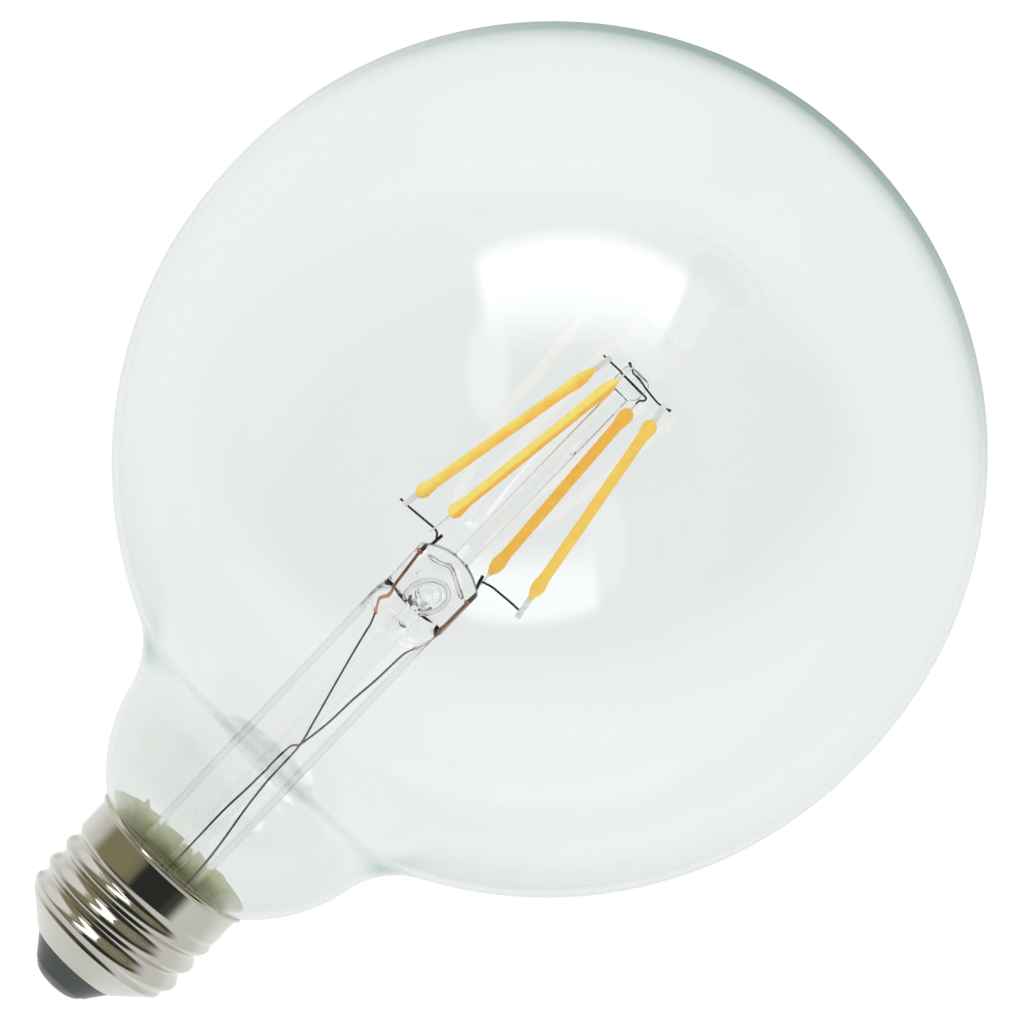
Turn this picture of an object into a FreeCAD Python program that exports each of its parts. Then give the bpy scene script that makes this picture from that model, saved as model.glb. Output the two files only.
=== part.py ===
import FreeCAD, Part
import math
import os

from FreeCAD import Placement, Rotation, Vector

# Clear globe bulb with four light strips and a medium screw base, in millimetres.
# The origin is the middle of the contact's flat end, and +Z runs along the bulb's axis to the crown.
# X runs across the pressed seal, from the left lead to the right lead, and -Y is the front.

# Screw shell, rolled from thin sheet
sheet = 0.3
shell_mouth_radius = 7.6
crest_radius = 13.1
thread_depth = 0.93
thread_pitch = 3.629
crest_height_at_right = 11.72
shoulder_height = 4.25
thread_length = 11.6
thread_fade = 1.6
collar_above_root = 0.78
collar_height = 4.5
rim_flare = 0.55
rim_height = 0.8
sections_per_turn = 10

# Centre contact and the insulator that it sits in
contact_radius = 4.6
contact_flat_radius = 2.6
contact_height = 1.4
contact_stem_radius = 1.2
contact_stem_length = 2.0
contact_bulge = 0.3
insulator_foot_radius = 4.85
insulator_height = 3.35
insulator_depth_in_shell = 1.45
insulator_ledge = 0.12

# Globe and neck, blown as one piece
globe_radius = 62.5
globe_stretch = 0.8
globe_centre_above_rim = 79.9
glass_wall = 0.9
waist_radius = 14.9
shoulder_radius = 24.7
shoulder_centre_above_rim = 19.1
neck_fillet = 2.0
neck_end_below_rim = 11.9
cement_gap = 1.25
cement_height = 4.9
cement_below_rim = 0.3
glass_seat_gap = 0.04

# Stem: flared tube, pressed seal, exhaust tube and rod
tube_radius = 5.65
tube_wall = 1.0
flare_rim_gap = 0.1
seal_top_below_globe_centre = 19.4
seal_height = 8.9
seal_blend = 3.0
seal_half_width = 5.65
seal_thickness = 5.0
seal_offset = 0.4
seal_shoulder_drop = 2.2
press_depth = 0.55
squeeze_start_angle = 50.0
bore_end_above_blend = 0.7
exhaust_radius = 1.35
exhaust_wall = 0.45
exhaust_offset = 0.72
exhaust_top_below_seal_top = 9.2
exhaust_tip_below_flare = 0.3
vent_radius = 0.7
vent_rise = 0.9
rod_radius = 1.35
rod_offset = 0.69
rod_lean = 0.5
rod_socket = 0.6
rod_above_coats = 5.6
button_radius = 2.35
button_height = 3.5
button_edge = 1.1

# Wires
lead_radius = 0.25
seal_wire_radius = 0.2
outer_lead_radius = 0.225
cross_wire_radius = 0.175
anchor_radius = 0.15
weld_bead_radius = 0.38
wire_bead_radius = 0.26
weld_gap = 0.01
lead_rise_above_board = 1.3

# Light strips: a carrier with chips and end tabs, in a moulded coat
coat_length = 31.8
coat_radius = 0.82
tab_width = 0.9
tab_thickness = 0.25
tab_grip = 1.4
strip_width = 0.8
strip_thickness = 0.3
chip_count = 26
chip_length = 0.76
chip_width = 0.4
chip_height = 0.12

# Driver in the cap
board_thickness = 1.0
board_clearance = 0.3
bridge_size = (4.7, 3.8, 2.3)
bridge_place = (3.0, 3.6)
chip_size = (4.5, 2.5, 1.5)
chip_place = (4.4, -0.4)
capacitor_radius = 2.5
capacitor_height = 4.8
capacitor_place = (-4.5, 1.5)
capacitor_edge = 0.3
groove_height = 0.9
groove_radius = 0.35
groove_depth = 0.2
resistor_radius = 1.1
resistor_length = 5.6
resistor_place = (-1.6, -5.6)
resistor_waist_length = 2.8
resistor_waist_depth = 0.12
resistor_leg_reach = 0.7
resistor_leg_radius = 0.25
moulding_edge = 0.15
terminal_width = 0.6
terminal_thickness = 0.2
terminal_reach = 0.7
terminal_inlay = 0.05
contact_wire_radius = 0.3
shell_wire_radius = 0.25
shell_wire_inset = 1.28
shell_wire_turn = 200.0
shell_wire_rise = 1.5
shell_wire_gap = 0.05
left_pad = (4.4, -4.2)
right_pad = (0.2, -3.2)

# Heights that follow from the sizes above
shell_bottom = contact_height + insulator_height
shoulder_top = shell_bottom + shoulder_height
thread_top = shoulder_top + thread_length
collar_top = thread_top + collar_height
rim_top = collar_top + rim_height
globe_centre = rim_top + globe_centre_above_rim
neck_end = rim_top - neck_end_below_rim
seal_top = globe_centre - seal_top_below_globe_centre
seal_bottom = seal_top - seal_height
blend_bottom = seal_bottom - seal_blend
board_bottom = shell_bottom + insulator_depth_in_shell
board_top = board_bottom + board_thickness
rod_length = coat_length + rod_above_coats

# Radii that follow from the sizes above
root_radius = crest_radius - thread_depth
collar_radius = root_radius + collar_above_root
rim_radius = collar_radius + rim_flare
neck_radius = collar_radius - sheet - cement_gap
neck_bore = neck_radius - glass_wall
tube_bore = tube_radius - tube_wall
thread_throw = thread_depth / 2
UP = Vector(0, 0, 1)
SIDE = Vector(1, 0, 0)
FRONT = Vector(0, -1, 0)


def at(radius, height):
    """Point of a turned outline."""
    return Vector(radius, 0, height)


def line(start, end):
    return Part.LineSegment(start, end).toShape()


def outline(points):
    """Closed straight-sided outline."""
    return Part.Wire([line(a, b) for a, b in zip(points, points[1:] + points[:1])])


def turned(edges):
    """Solid of revolution about the bulb's axis."""
    wire = edges if isinstance(edges, Part.Wire) else Part.Wire(Part.__sortEdges__(edges))
    return Part.Face(wire).revolve(Vector(0, 0, 0), UP, 360)


def arc(centre, radius, start, end):
    """Arc of a turned outline about centre, from the direction of start to that of end, the short way."""
    first = start.sub(centre).normalize()
    last = end.sub(centre).normalize()
    middle = first.add(last).normalize()
    return Part.Arc(centre + first * radius, centre + middle * radius, centre + last * radius).toShape()


def bent_wire(points, radius):
    """Round wire along straight runs joined by tangent arcs, each as large as its two runs allow."""
    edges = []
    start = points[0]
    for before, corner, after in zip(points, points[1:], points[2:]):
        arrive = corner.sub(before)
        leave = after.sub(corner)
        cut = 0.45 * min(arrive.Length, leave.Length)
        arrive.normalize()
        leave.normalize()
        half_turn = arrive.getAngle(leave) / 2
        bend = cut / math.tan(half_turn)
        inward = leave.sub(arrive).normalize()
        arc_start = corner - arrive * cut
        arc_end = corner + leave * cut
        arc_middle = corner + inward * (bend / math.cos(half_turn) - bend)
        edges.append(line(start, arc_start))
        edges.append(Part.Arc(arc_start, arc_middle, arc_end).toShape())
        start = arc_end
    edges.append(line(start, points[-1]))
    path = Part.Wire(edges)
    first_run = points[1].sub(points[0])
    section = Part.Wire(Part.Circle(points[0], first_run, radius).toShape())
    return path.makePipeShell([section], True, False)


def ball(point, radius):
    return Part.makeSphere(radius, point)


def box_about(centre_x, centre_y, size_x, size_y, low, high):
    corner = Vector(centre_x - size_x / 2, centre_y - size_y / 2, low)
    return Part.makeBox(size_x, size_y, high - low, corner)


def shell_slope(height, inset):
    """Radius of the shell's lower cone at a height, on its outside or, inset, on its inside."""
    mouth = shell_mouth_radius - inset * math.sqrt(2)
    share = (height - shell_bottom) / shoulder_height
    return mouth + share * (root_radius - inset - mouth)


def thread_column(inset):
    """Rolled thread: a circle whose centre goes round the axis once a pitch, faded out at both ends."""
    sections = []
    count = round(thread_length / thread_pitch * sections_per_turn)
    for step in range(count + 1):
        rise = thread_length * step / count
        height = shoulder_top + rise
        fade_in = min(1.0, rise / thread_fade)
        fade_out = min(1.0, (thread_length - rise) / thread_fade)
        throw = thread_throw * min(fade_in, fade_out)
        plain_radius = collar_radius + (root_radius - collar_radius) * fade_out
        turn = 2 * math.pi * (height - crest_height_at_right) / thread_pitch
        centre = Vector(throw * math.cos(turn), throw * math.sin(turn), height)
        section = Part.Circle(centre, UP, plain_radius + throw - inset)
        sections.append(Part.Wire(section.toShape()))
    return Part.makeLoft(sections, True, True)


def shell_body(inset):
    """The shell's outer form or, inset by the sheet, the space inside it."""
    cone = turned(outline([
        at(0, shell_bottom),
        at(shell_slope(shell_bottom, inset), shell_bottom),
        at(root_radius - inset, shoulder_top),
        at(0, shoulder_top),
    ]))
    collar = turned(outline([
        at(0, thread_top),
        at(collar_radius - inset, thread_top),
        at(collar_radius - inset, collar_top),
        at(rim_radius - inset, rim_top),
        at(0, rim_top),
    ]))
    return cone.fuse([thread_column(inset), collar])


def screw_shell():
    return shell_body(0).cut(shell_body(sheet))


def base_insulator():
    """Cast glass plug that fills the shell's mouth and stands out below it."""
    ledge_radius = shell_slope(shell_bottom, sheet) + insulator_ledge
    return turned(outline([
        at(contact_stem_radius, contact_height),
        at(insulator_foot_radius, contact_height),
        at(ledge_radius, shell_bottom),
        at(shell_slope(shell_bottom, sheet), shell_bottom),
        at(shell_slope(board_bottom, sheet), board_bottom),
        at(contact_stem_radius, board_bottom),
    ]))


def centre_contact():
    """Domed contact with a rivet stem up the insulator's bore."""
    stem_top = contact_height + contact_stem_length
    flat_edge = at(contact_flat_radius, 0)
    rim_edge = at(contact_radius, contact_height)
    slope = rim_edge.sub(flat_edge).normalize()
    bulge = at(slope.z, -slope.x) * contact_bulge
    dome = Part.Arc(flat_edge, (flat_edge + rim_edge) * 0.5 + bulge, rim_edge).toShape()
    return turned([
        line(at(0, 0), at(contact_flat_radius, 0)),
        dome,
        line(at(contact_radius, contact_height), at(contact_stem_radius, contact_height)),
        line(at(contact_stem_radius, contact_height), at(contact_stem_radius, stem_top)),
        line(at(contact_stem_radius, stem_top), at(0, stem_top)),
        line(at(0, stem_top), at(0, 0)),
    ])


def globe_body(inset):
    """Globe, waist, shoulder and neck: the glass's outer form or, inset by its wall, the space inside it."""
    radius = globe_radius - inset
    low_centre = at(0, globe_centre - globe_stretch)
    high_centre = at(0, globe_centre + globe_stretch)
    glass_at_rim = rim_radius - sheet - glass_seat_gap
    shoulder_z = rim_top + shoulder_centre_above_rim
    reach = math.sqrt(shoulder_radius**2 - shoulder_centre_above_rim**2)
    shoulder_centre = at(glass_at_rim - reach, shoulder_z)
    waist = waist_radius + inset
    shoulder = shoulder_radius - inset
    fillet = neck_fillet + inset
    neck = neck_radius - inset

    span = low_centre.sub(shoulder_centre)
    to_shoulder = shoulder + waist
    to_globe = radius + waist
    along = (to_shoulder**2 - to_globe**2 + span.Length**2) / (2 * span.Length)
    aside = math.sqrt(to_shoulder**2 - along**2)
    unit = Vector(span).normalize()
    outward = Vector(unit.z, 0, -unit.x)
    waist_centre = shoulder_centre + unit * along + outward * aside

    fillet_drop = math.sqrt((shoulder + fillet)**2 - (neck + fillet - shoulder_centre.x)**2)
    fillet_centre = at(neck + fillet, shoulder_z - fillet_drop)

    crown = at(0, high_centre.z + radius)
    side_high = at(radius, high_centre.z)
    side_low = at(radius, low_centre.z)
    to_neck = at(neck, fillet_centre.z)
    return turned([
        arc(high_centre, radius, crown, side_high),
        line(side_high, side_low),
        arc(low_centre, radius, side_low, waist_centre),
        arc(waist_centre, waist, low_centre, shoulder_centre),
        arc(shoulder_centre, shoulder, waist_centre, fillet_centre),
        arc(fillet_centre, fillet, shoulder_centre, to_neck),
        line(to_neck, at(neck, neck_end)),
        line(at(neck, neck_end), at(0, neck_end)),
        line(at(0, neck_end), crown),
    ])


def globe_glass():
    return globe_body(0).cut(globe_body(glass_wall))


def basing_cement():
    """Ring of cement between the neck and the shell's collar."""
    low = rim_top - cement_below_rim - cement_height
    high = rim_top - cement_below_rim
    bore = collar_radius - sheet
    flare_share = (high - collar_top) / rim_height
    ring = turned(outline([
        at(neck_radius - glass_wall / 2, low),
        at(bore, low),
        at(bore, collar_top),
        at(bore + flare_share * rim_flare, high),
        at(neck_radius - glass_wall / 2, high),
    ]))
    return ring.cut(globe_body(0))


def flared_tube():
    """Tube whose lower end is opened like a trumpet and carries the neck on its rim."""
    sweep = neck_bore - flare_rim_gap - tube_radius
    centre = at(tube_radius + sweep, neck_end + sweep)
    tube_top = blend_bottom
    return turned([
        line(at(tube_radius, tube_top), at(tube_radius, centre.z)),
        arc(centre, sweep, at(tube_radius, centre.z), at(centre.x, neck_end)),
        line(at(centre.x, neck_end), at(neck_radius, neck_end)),
        line(at(neck_radius, neck_end), at(neck_radius, neck_end - tube_wall)),
        line(at(neck_radius, neck_end - tube_wall), at(centre.x, neck_end - tube_wall)),
        arc(centre, sweep + tube_wall, at(centre.x, neck_end - tube_wall), at(tube_bore, centre.z)),
        line(at(tube_bore, centre.z), at(tube_bore, tube_top)),
        line(at(tube_bore, tube_top), at(tube_radius, tube_top)),
    ])


def seal_outline(height, half_width, thickness, offset):
    """Rounded bar across the stem at one height."""
    end = thickness / 2
    flat = half_width - end
    middle = Vector(offset, 0, height)
    edges = []
    for side in (-1, 1):
        first = middle + Vector(side * flat, side * end, 0)
        last = middle + Vector(side * flat, -side * end, 0)
        nose = middle + SIDE * side * half_width
        edges.append(line(first - SIDE * 2 * side * flat, first))
        edges.append(Part.Arc(first, nose, last).toShape())
    return Part.Wire(edges)


def round_outline(height):
    """Circle of the tube in four arcs that answer the four edges of the rounded bar."""
    turn = math.radians(squeeze_start_angle)
    across = SIDE * tube_radius * math.cos(turn)
    deep = Vector(0, tube_radius * math.sin(turn), 0)
    middle = UP * height
    edges = []
    for side in (-1, 1):
        first = middle + across * side + deep * side
        last = middle + across * side - deep * side
        front = middle + Vector(0, side * tube_radius, 0)
        nose = middle + SIDE * side * tube_radius
        edges.append(Part.Arc(first - across * 2 * side, front, first).toShape())
        edges.append(Part.Arc(first, nose, last).toShape())
    return Part.Wire(edges)


def pressed_seal():
    """Glass squeezed flat over the leads: a bar with a domed top and a pressed field on each face."""
    foot = seal_outline(seal_bottom, seal_half_width, seal_thickness, seal_offset)
    bar = Part.Face(foot).extrude(UP * seal_height)
    dome_radius = (seal_half_width**2 + seal_shoulder_drop**2) / (2 * seal_shoulder_drop)
    dome_centre = Vector(seal_offset, -seal_thickness, seal_top - dome_radius)
    dome = Part.makeCylinder(dome_radius, 2 * seal_thickness, dome_centre, Vector(0, 1, 0))
    bar = bar.common(dome)
    blend = Part.makeLoft([round_outline(blend_bottom), foot], True, True)
    plug_height = tube_bore / 2 - bore_end_above_blend
    plug = Part.makeCylinder(tube_radius, plug_height, Vector(0, 0, blend_bottom - plug_height))
    body = bar.fuse([blend, plug])
    field = outline([
        Vector(across * seal_half_width, 0, seal_bottom + up * seal_height) for across, up in press_field
    ])
    for side in (-1, 1):
        sheet_face = Part.Face(field)
        sheet_face.translate(Vector(0, side * (seal_thickness / 2 - press_depth), 0))
        body = body.cut(sheet_face.extrude(Vector(0, side * seal_thickness, 0)))
    return body


def exhaust_tube():
    """Pumping tube up the middle of the stem, melted shut at its lower tip."""
    low = neck_end - tube_wall - exhaust_tip_below_flare
    high = seal_top - exhaust_top_below_seal_top
    bore = exhaust_radius - exhaust_wall
    tip = Vector(0, 0, low + exhaust_radius)
    outer = Part.makeCylinder(exhaust_radius, high - tip.z, tip)
    outer = outer.fuse(ball(tip, exhaust_radius))
    inner = Part.makeCylinder(bore, high - tip.z, tip)
    tube = outer.cut(inner)
    tube.translate(SIDE * exhaust_offset)
    return tube


def stem_bore():
    """Space inside the flared tube, closed by a rounded end just below the seal."""
    end = blend_bottom + bore_end_above_blend
    drop = tube_bore / 2
    bore = Part.makeCylinder(tube_bore, tube_wall, Vector(0, 0, end - drop - tube_wall))
    dome_radius = (tube_bore**2 + drop**2) / (2 * drop)
    lid = turned([
        line(at(0, end - drop), at(tube_bore, end - drop)),
        arc(at(0, end - dome_radius), dome_radius, at(tube_bore, end - drop), at(0, end)),
        line(at(0, end), at(0, end - drop)),
    ])
    return bore.fuse(lid)


def exhaust_seat():
    """Room for the exhaust tube's upper end in the seal."""
    depth = seal_height + seal_blend
    low = seal_top - exhaust_top_below_seal_top - depth
    return Part.makeCylinder(exhaust_radius, depth, Vector(exhaust_offset, 0, low))


def exhaust_vent():
    """Way out of the exhaust tube through the seal's front face."""
    start = Vector(exhaust_offset, 0, seal_top - exhaust_top_below_seal_top)
    bend = start + UP * vent_rise
    up = Part.makeCylinder(exhaust_radius - exhaust_wall, vent_rise, start)
    out = Part.makeCylinder(vent_radius, seal_thickness, bend, FRONT)
    return up.fuse([out, ball(bend, exhaust_radius - exhaust_wall)])


def on_rod(height):
    """Point on the leaning rod's axis, at a height above the seal's top."""
    lean = math.radians(rod_lean)
    return Vector(rod_offset + height * math.tan(lean), 0, seal_top + height)


def support_rod():
    """Glass rod on the seal, with a melted button at its top that holds the anchor wires."""
    low = -rod_socket
    button_low = rod_length - button_height
    low_edge = button_edge / 2
    low_centre = at(button_radius - low_edge, button_low + low_edge)
    top_centre = at(button_radius - button_edge, rod_length - button_edge)
    rod = turned([
        line(at(0, low), at(rod_radius, low)),
        line(at(rod_radius, low), at(rod_radius, button_low)),
        line(at(rod_radius, button_low), at(low_centre.x, button_low)),
        arc(low_centre, low_edge, at(low_centre.x, button_low), at(button_radius, low_centre.z)),
        line(at(button_radius, low_centre.z), at(button_radius, top_centre.z)),
        arc(top_centre, button_edge, at(button_radius, top_centre.z), at(top_centre.x, rod_length)),
        line(at(top_centre.x, rod_length), at(0, rod_length)),
        line(at(0, rod_length), at(0, low)),
    ])
    rod.Placement = Placement(Vector(rod_offset, 0, seal_top), Rotation(Vector(0, 1, 0), rod_lean))
    return rod


# Field pressed into both faces of the seal, as shares of the seal's half width and height
press_field = [(-0.82, 0.045), (0.93, 0.045), (0.81, 0.54), (0.07, 0.79), (-0.70, 0.65)]


def on_seal(across, down):
    """Point on the leads' plane, by shares of the seal's half width and of its height below the top."""
    return Vector(across * seal_half_width, 0, seal_top - down * seal_height)


# Joints and bends of the leads
left_knot = on_seal(-0.729, 0.360)
left_lead_bend = on_seal(-0.690, 0.079)
left_lead_tip = on_seal(-0.665, -0.079)
right_knot = on_seal(0.910, 0.438)
right_lead_bends = [on_seal(0.935, 0.202), on_seal(0.857, 0.079)]
right_lead_tip = on_seal(0.805, -0.056)
left_seal_foot = on_seal(-0.616, 1.180)
left_outer_knot = on_seal(-0.513, 1.461)
right_seal_foot = on_seal(0.897, 1.090)
right_outer_knot = on_seal(0.752, 1.517)

# Routes of the outer leads down the tube: X and Y as shares of the bore's radius, and the share of the
# height from the board to the knot
left_outer_route = [
    (-0.467, -0.323, 0.942),
    (-0.155, -0.645, 0.846),
    (0.249, -0.731, 0.725),
    (0.437, -0.731, 0.659),
    (0.467, -0.720, 0.570),
    (0.561, -0.667, 0.481),
    (0.748, -0.495, 0.369),
    (0.828, -0.366, 0.300),
    (0.839, -0.409, 0.240),
    (0.903, -0.710, 0.110),
]
right_outer_route = [
    (0.817, -0.237, 0.950),
    (0.746, -0.452, 0.885),
    (0.654, -0.516, 0.818),
    (0.591, -0.516, 0.740),
    (0.437, -0.516, 0.667),
    (0.249, -0.516, 0.640),
    (0.187, -0.505, 0.528),
    (0.125, -0.495, 0.438),
    (0.125, -0.505, 0.292),
    (0.086, -0.602, 0.120),
]

# Place of each light strip: the foot of its coat as X, Y and height above the seal's top, the run of its
# line from there, how far each tab stands out below and above, and how far from the coat each weld lies
filament_places = {
    "filament_1": ((-10.4, -1.0, 2.52), (6.22, 1.3, 31.2), (2.3, 2.6), (2.08, 2.06)),
    "filament_2": ((-4.91, -2.0, 3.75), (4.18, -1.2, 31.4), (3.7, 2.5), (2.94, 2.2)),
    "filament_3": ((5.08, 1.99, 0.75), (-1.46, 1.0, 31.35), (1.8, 2.0), (1.14, 1.5)),
    "filament_4": ((11.84, 0.99, 2.47), (-4.82, -1.6, 31.85), (3.2, 2.9), (2.22, 2.4)),
}
edge_on = ("filament_2", "filament_3")

# Forms of a coat's end: radius of its tip, widest radius, and how far in the widest place and the body lie
round_end = (0.45, 1.06, 1.3, 3.4)
cone_end = (0.2, 1.03, 2.3, 4.4)
taper_end = (0.25, 0.99, 3.4, 6.0)
coat_ends = {
    "filament_1": (round_end, taper_end),
    "filament_2": (round_end, taper_end),
    "filament_3": (cone_end, round_end),
    "filament_4": (cone_end, round_end),
}

# Bends of the cross wires and anchor wires, measured from the welds and from the rod
lead_weld_length = 0.35
left_cross_dip = (0.75, 0, -0.25)
cross_wire_tail = 1.0
right_cross_step = (1.35, 0.15, 0.42)
right_cross_run = 1.7
rear_anchor_below_top = 1.7
rear_anchor_run = 2.3
rear_anchor_depth = 0.75
rear_anchor_knee = (0.6, 0, -0.4)
rear_anchor_drop = (0.58, 0, -0.95)
front_anchor_below_top = 0.62
front_anchor_hook = (-0.65, 0, 0.28)
front_anchor_bends = [(-0.75, -2.2, 0.2), (0.15, -1.3, 0), (1.4, -1.45, -0.1), (3.9, -1.1, -0.5)]
front_anchor_run = (0.75, 0, 0.1)
front_anchor_tail = (0.95, 0, 0.3)


def filament_line(name):
    """Middle of a light strip and the direction from its foot to its head."""
    foot, run = (Vector(*place) for place in filament_places[name][:2])
    direction = run.normalize()
    return foot + UP * seal_top + direction * (coat_length / 2), direction


def filament_frame(name):
    """Placement of a light strip modelled about the origin along +Z, its chips to the front or side."""
    middle, direction = filament_line(name)
    turn = Rotation(UP, direction)
    roll = Rotation(UP, 90 if name in edge_on else 0)
    return Placement(middle, turn.multiply(roll))


def weld_point(name, upper):
    """Point on a tab's middle where its wire is welded."""
    middle, direction = filament_line(name)
    reach = coat_length / 2 + filament_places[name][3][1 if upper else 0]
    return middle + direction * (reach if upper else -reach)


def beside(name, upper, radius, behind):
    """Middle of a wire that lies against a tab, behind it or in front."""
    half = (tab_width if name in edge_on else tab_thickness) / 2
    offset = half + radius + weld_gap
    return weld_point(name, upper) + FRONT * (-offset if behind else offset)


def filament_blank(name):
    """Coat before its inside is taken out: a round body with a swelling at each end, about the origin."""
    half = coat_length / 2
    edges = [line(at(0, -half), at(0, half))]
    shoulders = []
    for side, form in zip((-1, 1), coat_ends[name]):
        tip_radius, widest_radius, widest_depth, end_length = form
        tip = at(tip_radius, side * half)
        widest = at(widest_radius, side * (half - widest_depth))
        shoulder = at(coat_radius, side * (half - end_length))
        rise = widest_radius - tip_radius
        bow = (rise**2 + widest_depth**2) / (2 * rise)
        edges += [
            line(at(0, side * half), tip),
            arc(widest - SIDE * bow, bow, tip, widest),
            line(widest, shoulder),
        ]
        shoulders.append(shoulder)
    return turned(edges + [line(*shoulders)])


def filament_strip():
    half = coat_length / 2 - tab_grip
    return box_about(0, 0, strip_width, strip_thickness, -half, half)


def filament_chips():
    """Row of light chips on the carrier's front."""
    half = coat_length / 2 - tab_grip
    pitch = 2 * half / chip_count
    front = -strip_thickness / 2 - chip_height / 2
    row = []
    for index in range(chip_count):
        middle = -half + (index + 0.5) * pitch
        low = middle - chip_length / 2
        row.append(box_about(0, front, chip_width, chip_height, low, low + chip_length))
    return Part.makeCompound(row)


def filament_tabs(name):
    """Two metal tabs, butted to the carrier's ends and standing out of the coat."""
    below, above = filament_places[name][2]
    inner = coat_length / 2 - tab_grip
    outer = coat_length / 2
    low = box_about(0, 0, tab_width, tab_thickness, -outer - below, -inner)
    high = box_about(0, 0, tab_width, tab_thickness, inner, outer + above)
    return Part.makeCompound([low, high])


def filament_coat(name):
    half = coat_length / 2 - tab_grip
    front = -strip_thickness / 2 - chip_height
    chip_room = Part.makeBox(chip_width, chip_height, 2 * half, Vector(-chip_width / 2, front, -half))
    return filament_blank(name).cut([filament_strip(), chip_room] + filament_tabs(name).Solids)


def lead_wires():
    """Both leads in their three welded lengths: nickel above, copper-clad in the seal, stranded below."""
    pads = {"left": left_pad, "right": right_pad}
    routes = {"left": left_outer_route, "right": right_outer_route}
    knots = {"left": left_knot, "right": right_knot}
    outer_knots = {"left": left_outer_knot, "right": right_outer_knot}
    feet = {"left": left_seal_foot, "right": right_seal_foot}
    inner = {
        "left": [left_knot, left_lead_bend, left_lead_tip],
        "right": [right_knot] + right_lead_bends + [right_lead_tip],
    }
    pieces = {}
    for side in ("left", "right"):
        seal_wire = bent_wire([outer_knots[side], feet[side], knots[side]], seal_wire_radius)
        beads = [ball(knots[side], weld_bead_radius), ball(outer_knots[side], weld_bead_radius)]
        seal_wire = seal_wire.fuse(beads)
        span = outer_knots[side].z - board_top
        route = [outer_knots[side]]
        for x, y, share in routes[side]:
            route.append(Vector(x * tube_bore, y * tube_bore, board_top + share * span))
        pad = Vector(*pads[side], board_top)
        route += [pad + UP * lead_rise_above_board, pad]
        pieces[side + "_seal_wire"] = seal_wire
        pieces[side + "_inner_lead"] = bent_wire(inner[side], lead_radius).cut(seal_wire)
        pieces[side + "_outer_lead"] = bent_wire(route, outer_lead_radius).cut(seal_wire)
    return pieces


def cross_wires():
    """Wire from each lead's tip outwards under the feet of its two light strips."""
    step = lead_radius + cross_wire_radius + weld_gap
    left_one = beside("filament_1", False, cross_wire_radius, True)
    left_two = beside("filament_2", False, cross_wire_radius, True)
    left_weld = left_lead_bend + FRONT * step
    left = bent_wire([
        left_weld - UP * lead_weld_length,
        left_weld + UP * lead_weld_length,
        Vector(left_two.x, (left_two.y + left_weld.y) / 2, left_two.z) + Vector(*left_cross_dip),
        left_two,
        left_one + SIDE * tab_width,
        left_one - SIDE * cross_wire_tail,
    ], cross_wire_radius)
    right_three = beside("filament_3", False, cross_wire_radius, False)
    right_four = beside("filament_4", False, cross_wire_radius, True)
    right_weld = right_lead_bends[1] - FRONT * step
    right = bent_wire([
        right_weld - UP * lead_weld_length,
        right_weld + UP * lead_weld_length / 2,
        right_three,
        right_three + Vector(*right_cross_step),
        right_four - SIDE * right_cross_run,
        right_four + SIDE * (tab_width / 2 - cross_wire_radius / 2),
    ], cross_wire_radius)
    return {"left_cross_wire": left, "right_cross_wire": right}


def anchor_wires():
    """Two wires through the rod's button, which join the heads of strips 1 and 3 and those of 2 and 4."""
    one = beside("filament_1", True, anchor_radius, True)
    two = beside("filament_2", True, anchor_radius, True)
    three = beside("filament_3", True, anchor_radius, False)
    four = beside("filament_4", True, anchor_radius, True)
    rear_bead = on_rod(rod_length - rear_anchor_below_top)
    rear = bent_wire([
        one - SIDE * tab_width,
        one + SIDE * rear_anchor_run,
        Vector(rear_bead.x, rear_anchor_depth, rear_bead.z),
        Vector(three.x, three.y, rear_bead.z) + Vector(*rear_anchor_knee),
        Vector(three.x, three.y, rear_bead.z) + Vector(*rear_anchor_drop),
        three + UP * lead_weld_length,
        three - UP * lead_weld_length,
    ], anchor_radius)
    in_button = on_rod(rod_length - front_anchor_below_top)
    front = bent_wire(
        [two + Vector(*front_anchor_hook), two]
        + [in_button + Vector(*place) for place in front_anchor_bends]
        + [four - Vector(*front_anchor_run), four + Vector(*front_anchor_tail)],
        anchor_radius,
    )
    ends = [two + Vector(*front_anchor_hook), four + Vector(*front_anchor_tail)]
    return {
        "rear_anchor_wire": rear,
        "front_anchor_wire": front.fuse([ball(end, wire_bead_radius) for end in ends]),
    }


def flat_part(place, size, feet_x, feet_y):
    """Moulded flat part with a metal foot at each pair of the offsets feet_x and feet_y from its middle."""
    x, y = place
    body = box_about(x, y, size[0], size[1], board_top, board_top + size[2])
    body = body.makeFillet(moulding_edge, [edge for edge in body.Edges if edge.BoundBox.ZMin > board_top])
    feet = []
    for dx in feet_x:
        for dy in feet_y:
            foot_top = board_top + terminal_thickness
            feet.append(box_about(x + dx, y + dy, terminal_width, terminal_reach, board_top, foot_top))
    return body.fuse(feet)


def bridge_rectifier():
    reach = (bridge_size[1] + terminal_reach) / 2 - terminal_inlay
    offset = bridge_size[0] / 4
    return flat_part(bridge_place, bridge_size, (-offset, offset), (-reach, reach))


def driver_chip():
    reach = (chip_size[1] + terminal_reach) / 2 - terminal_inlay
    offset = chip_size[0] / 3
    return flat_part(chip_place, chip_size, (-offset, 0, offset), (-reach,))


def smoothing_capacitor():
    """Round can with a rolled groove near its seated end."""
    x, y = capacitor_place
    can = Part.makeCylinder(capacitor_radius, capacitor_height, Vector(x, y, board_top))
    ring_radius = capacitor_radius + groove_radius - groove_depth
    can = can.cut(Part.makeTorus(ring_radius, groove_radius, Vector(x, y, board_top + groove_height), UP))
    closed_end = board_top + capacitor_height - capacitor_edge
    return can.makeFillet(capacitor_edge, [edge for edge in can.Edges if edge.BoundBox.ZMin > closed_end])


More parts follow.
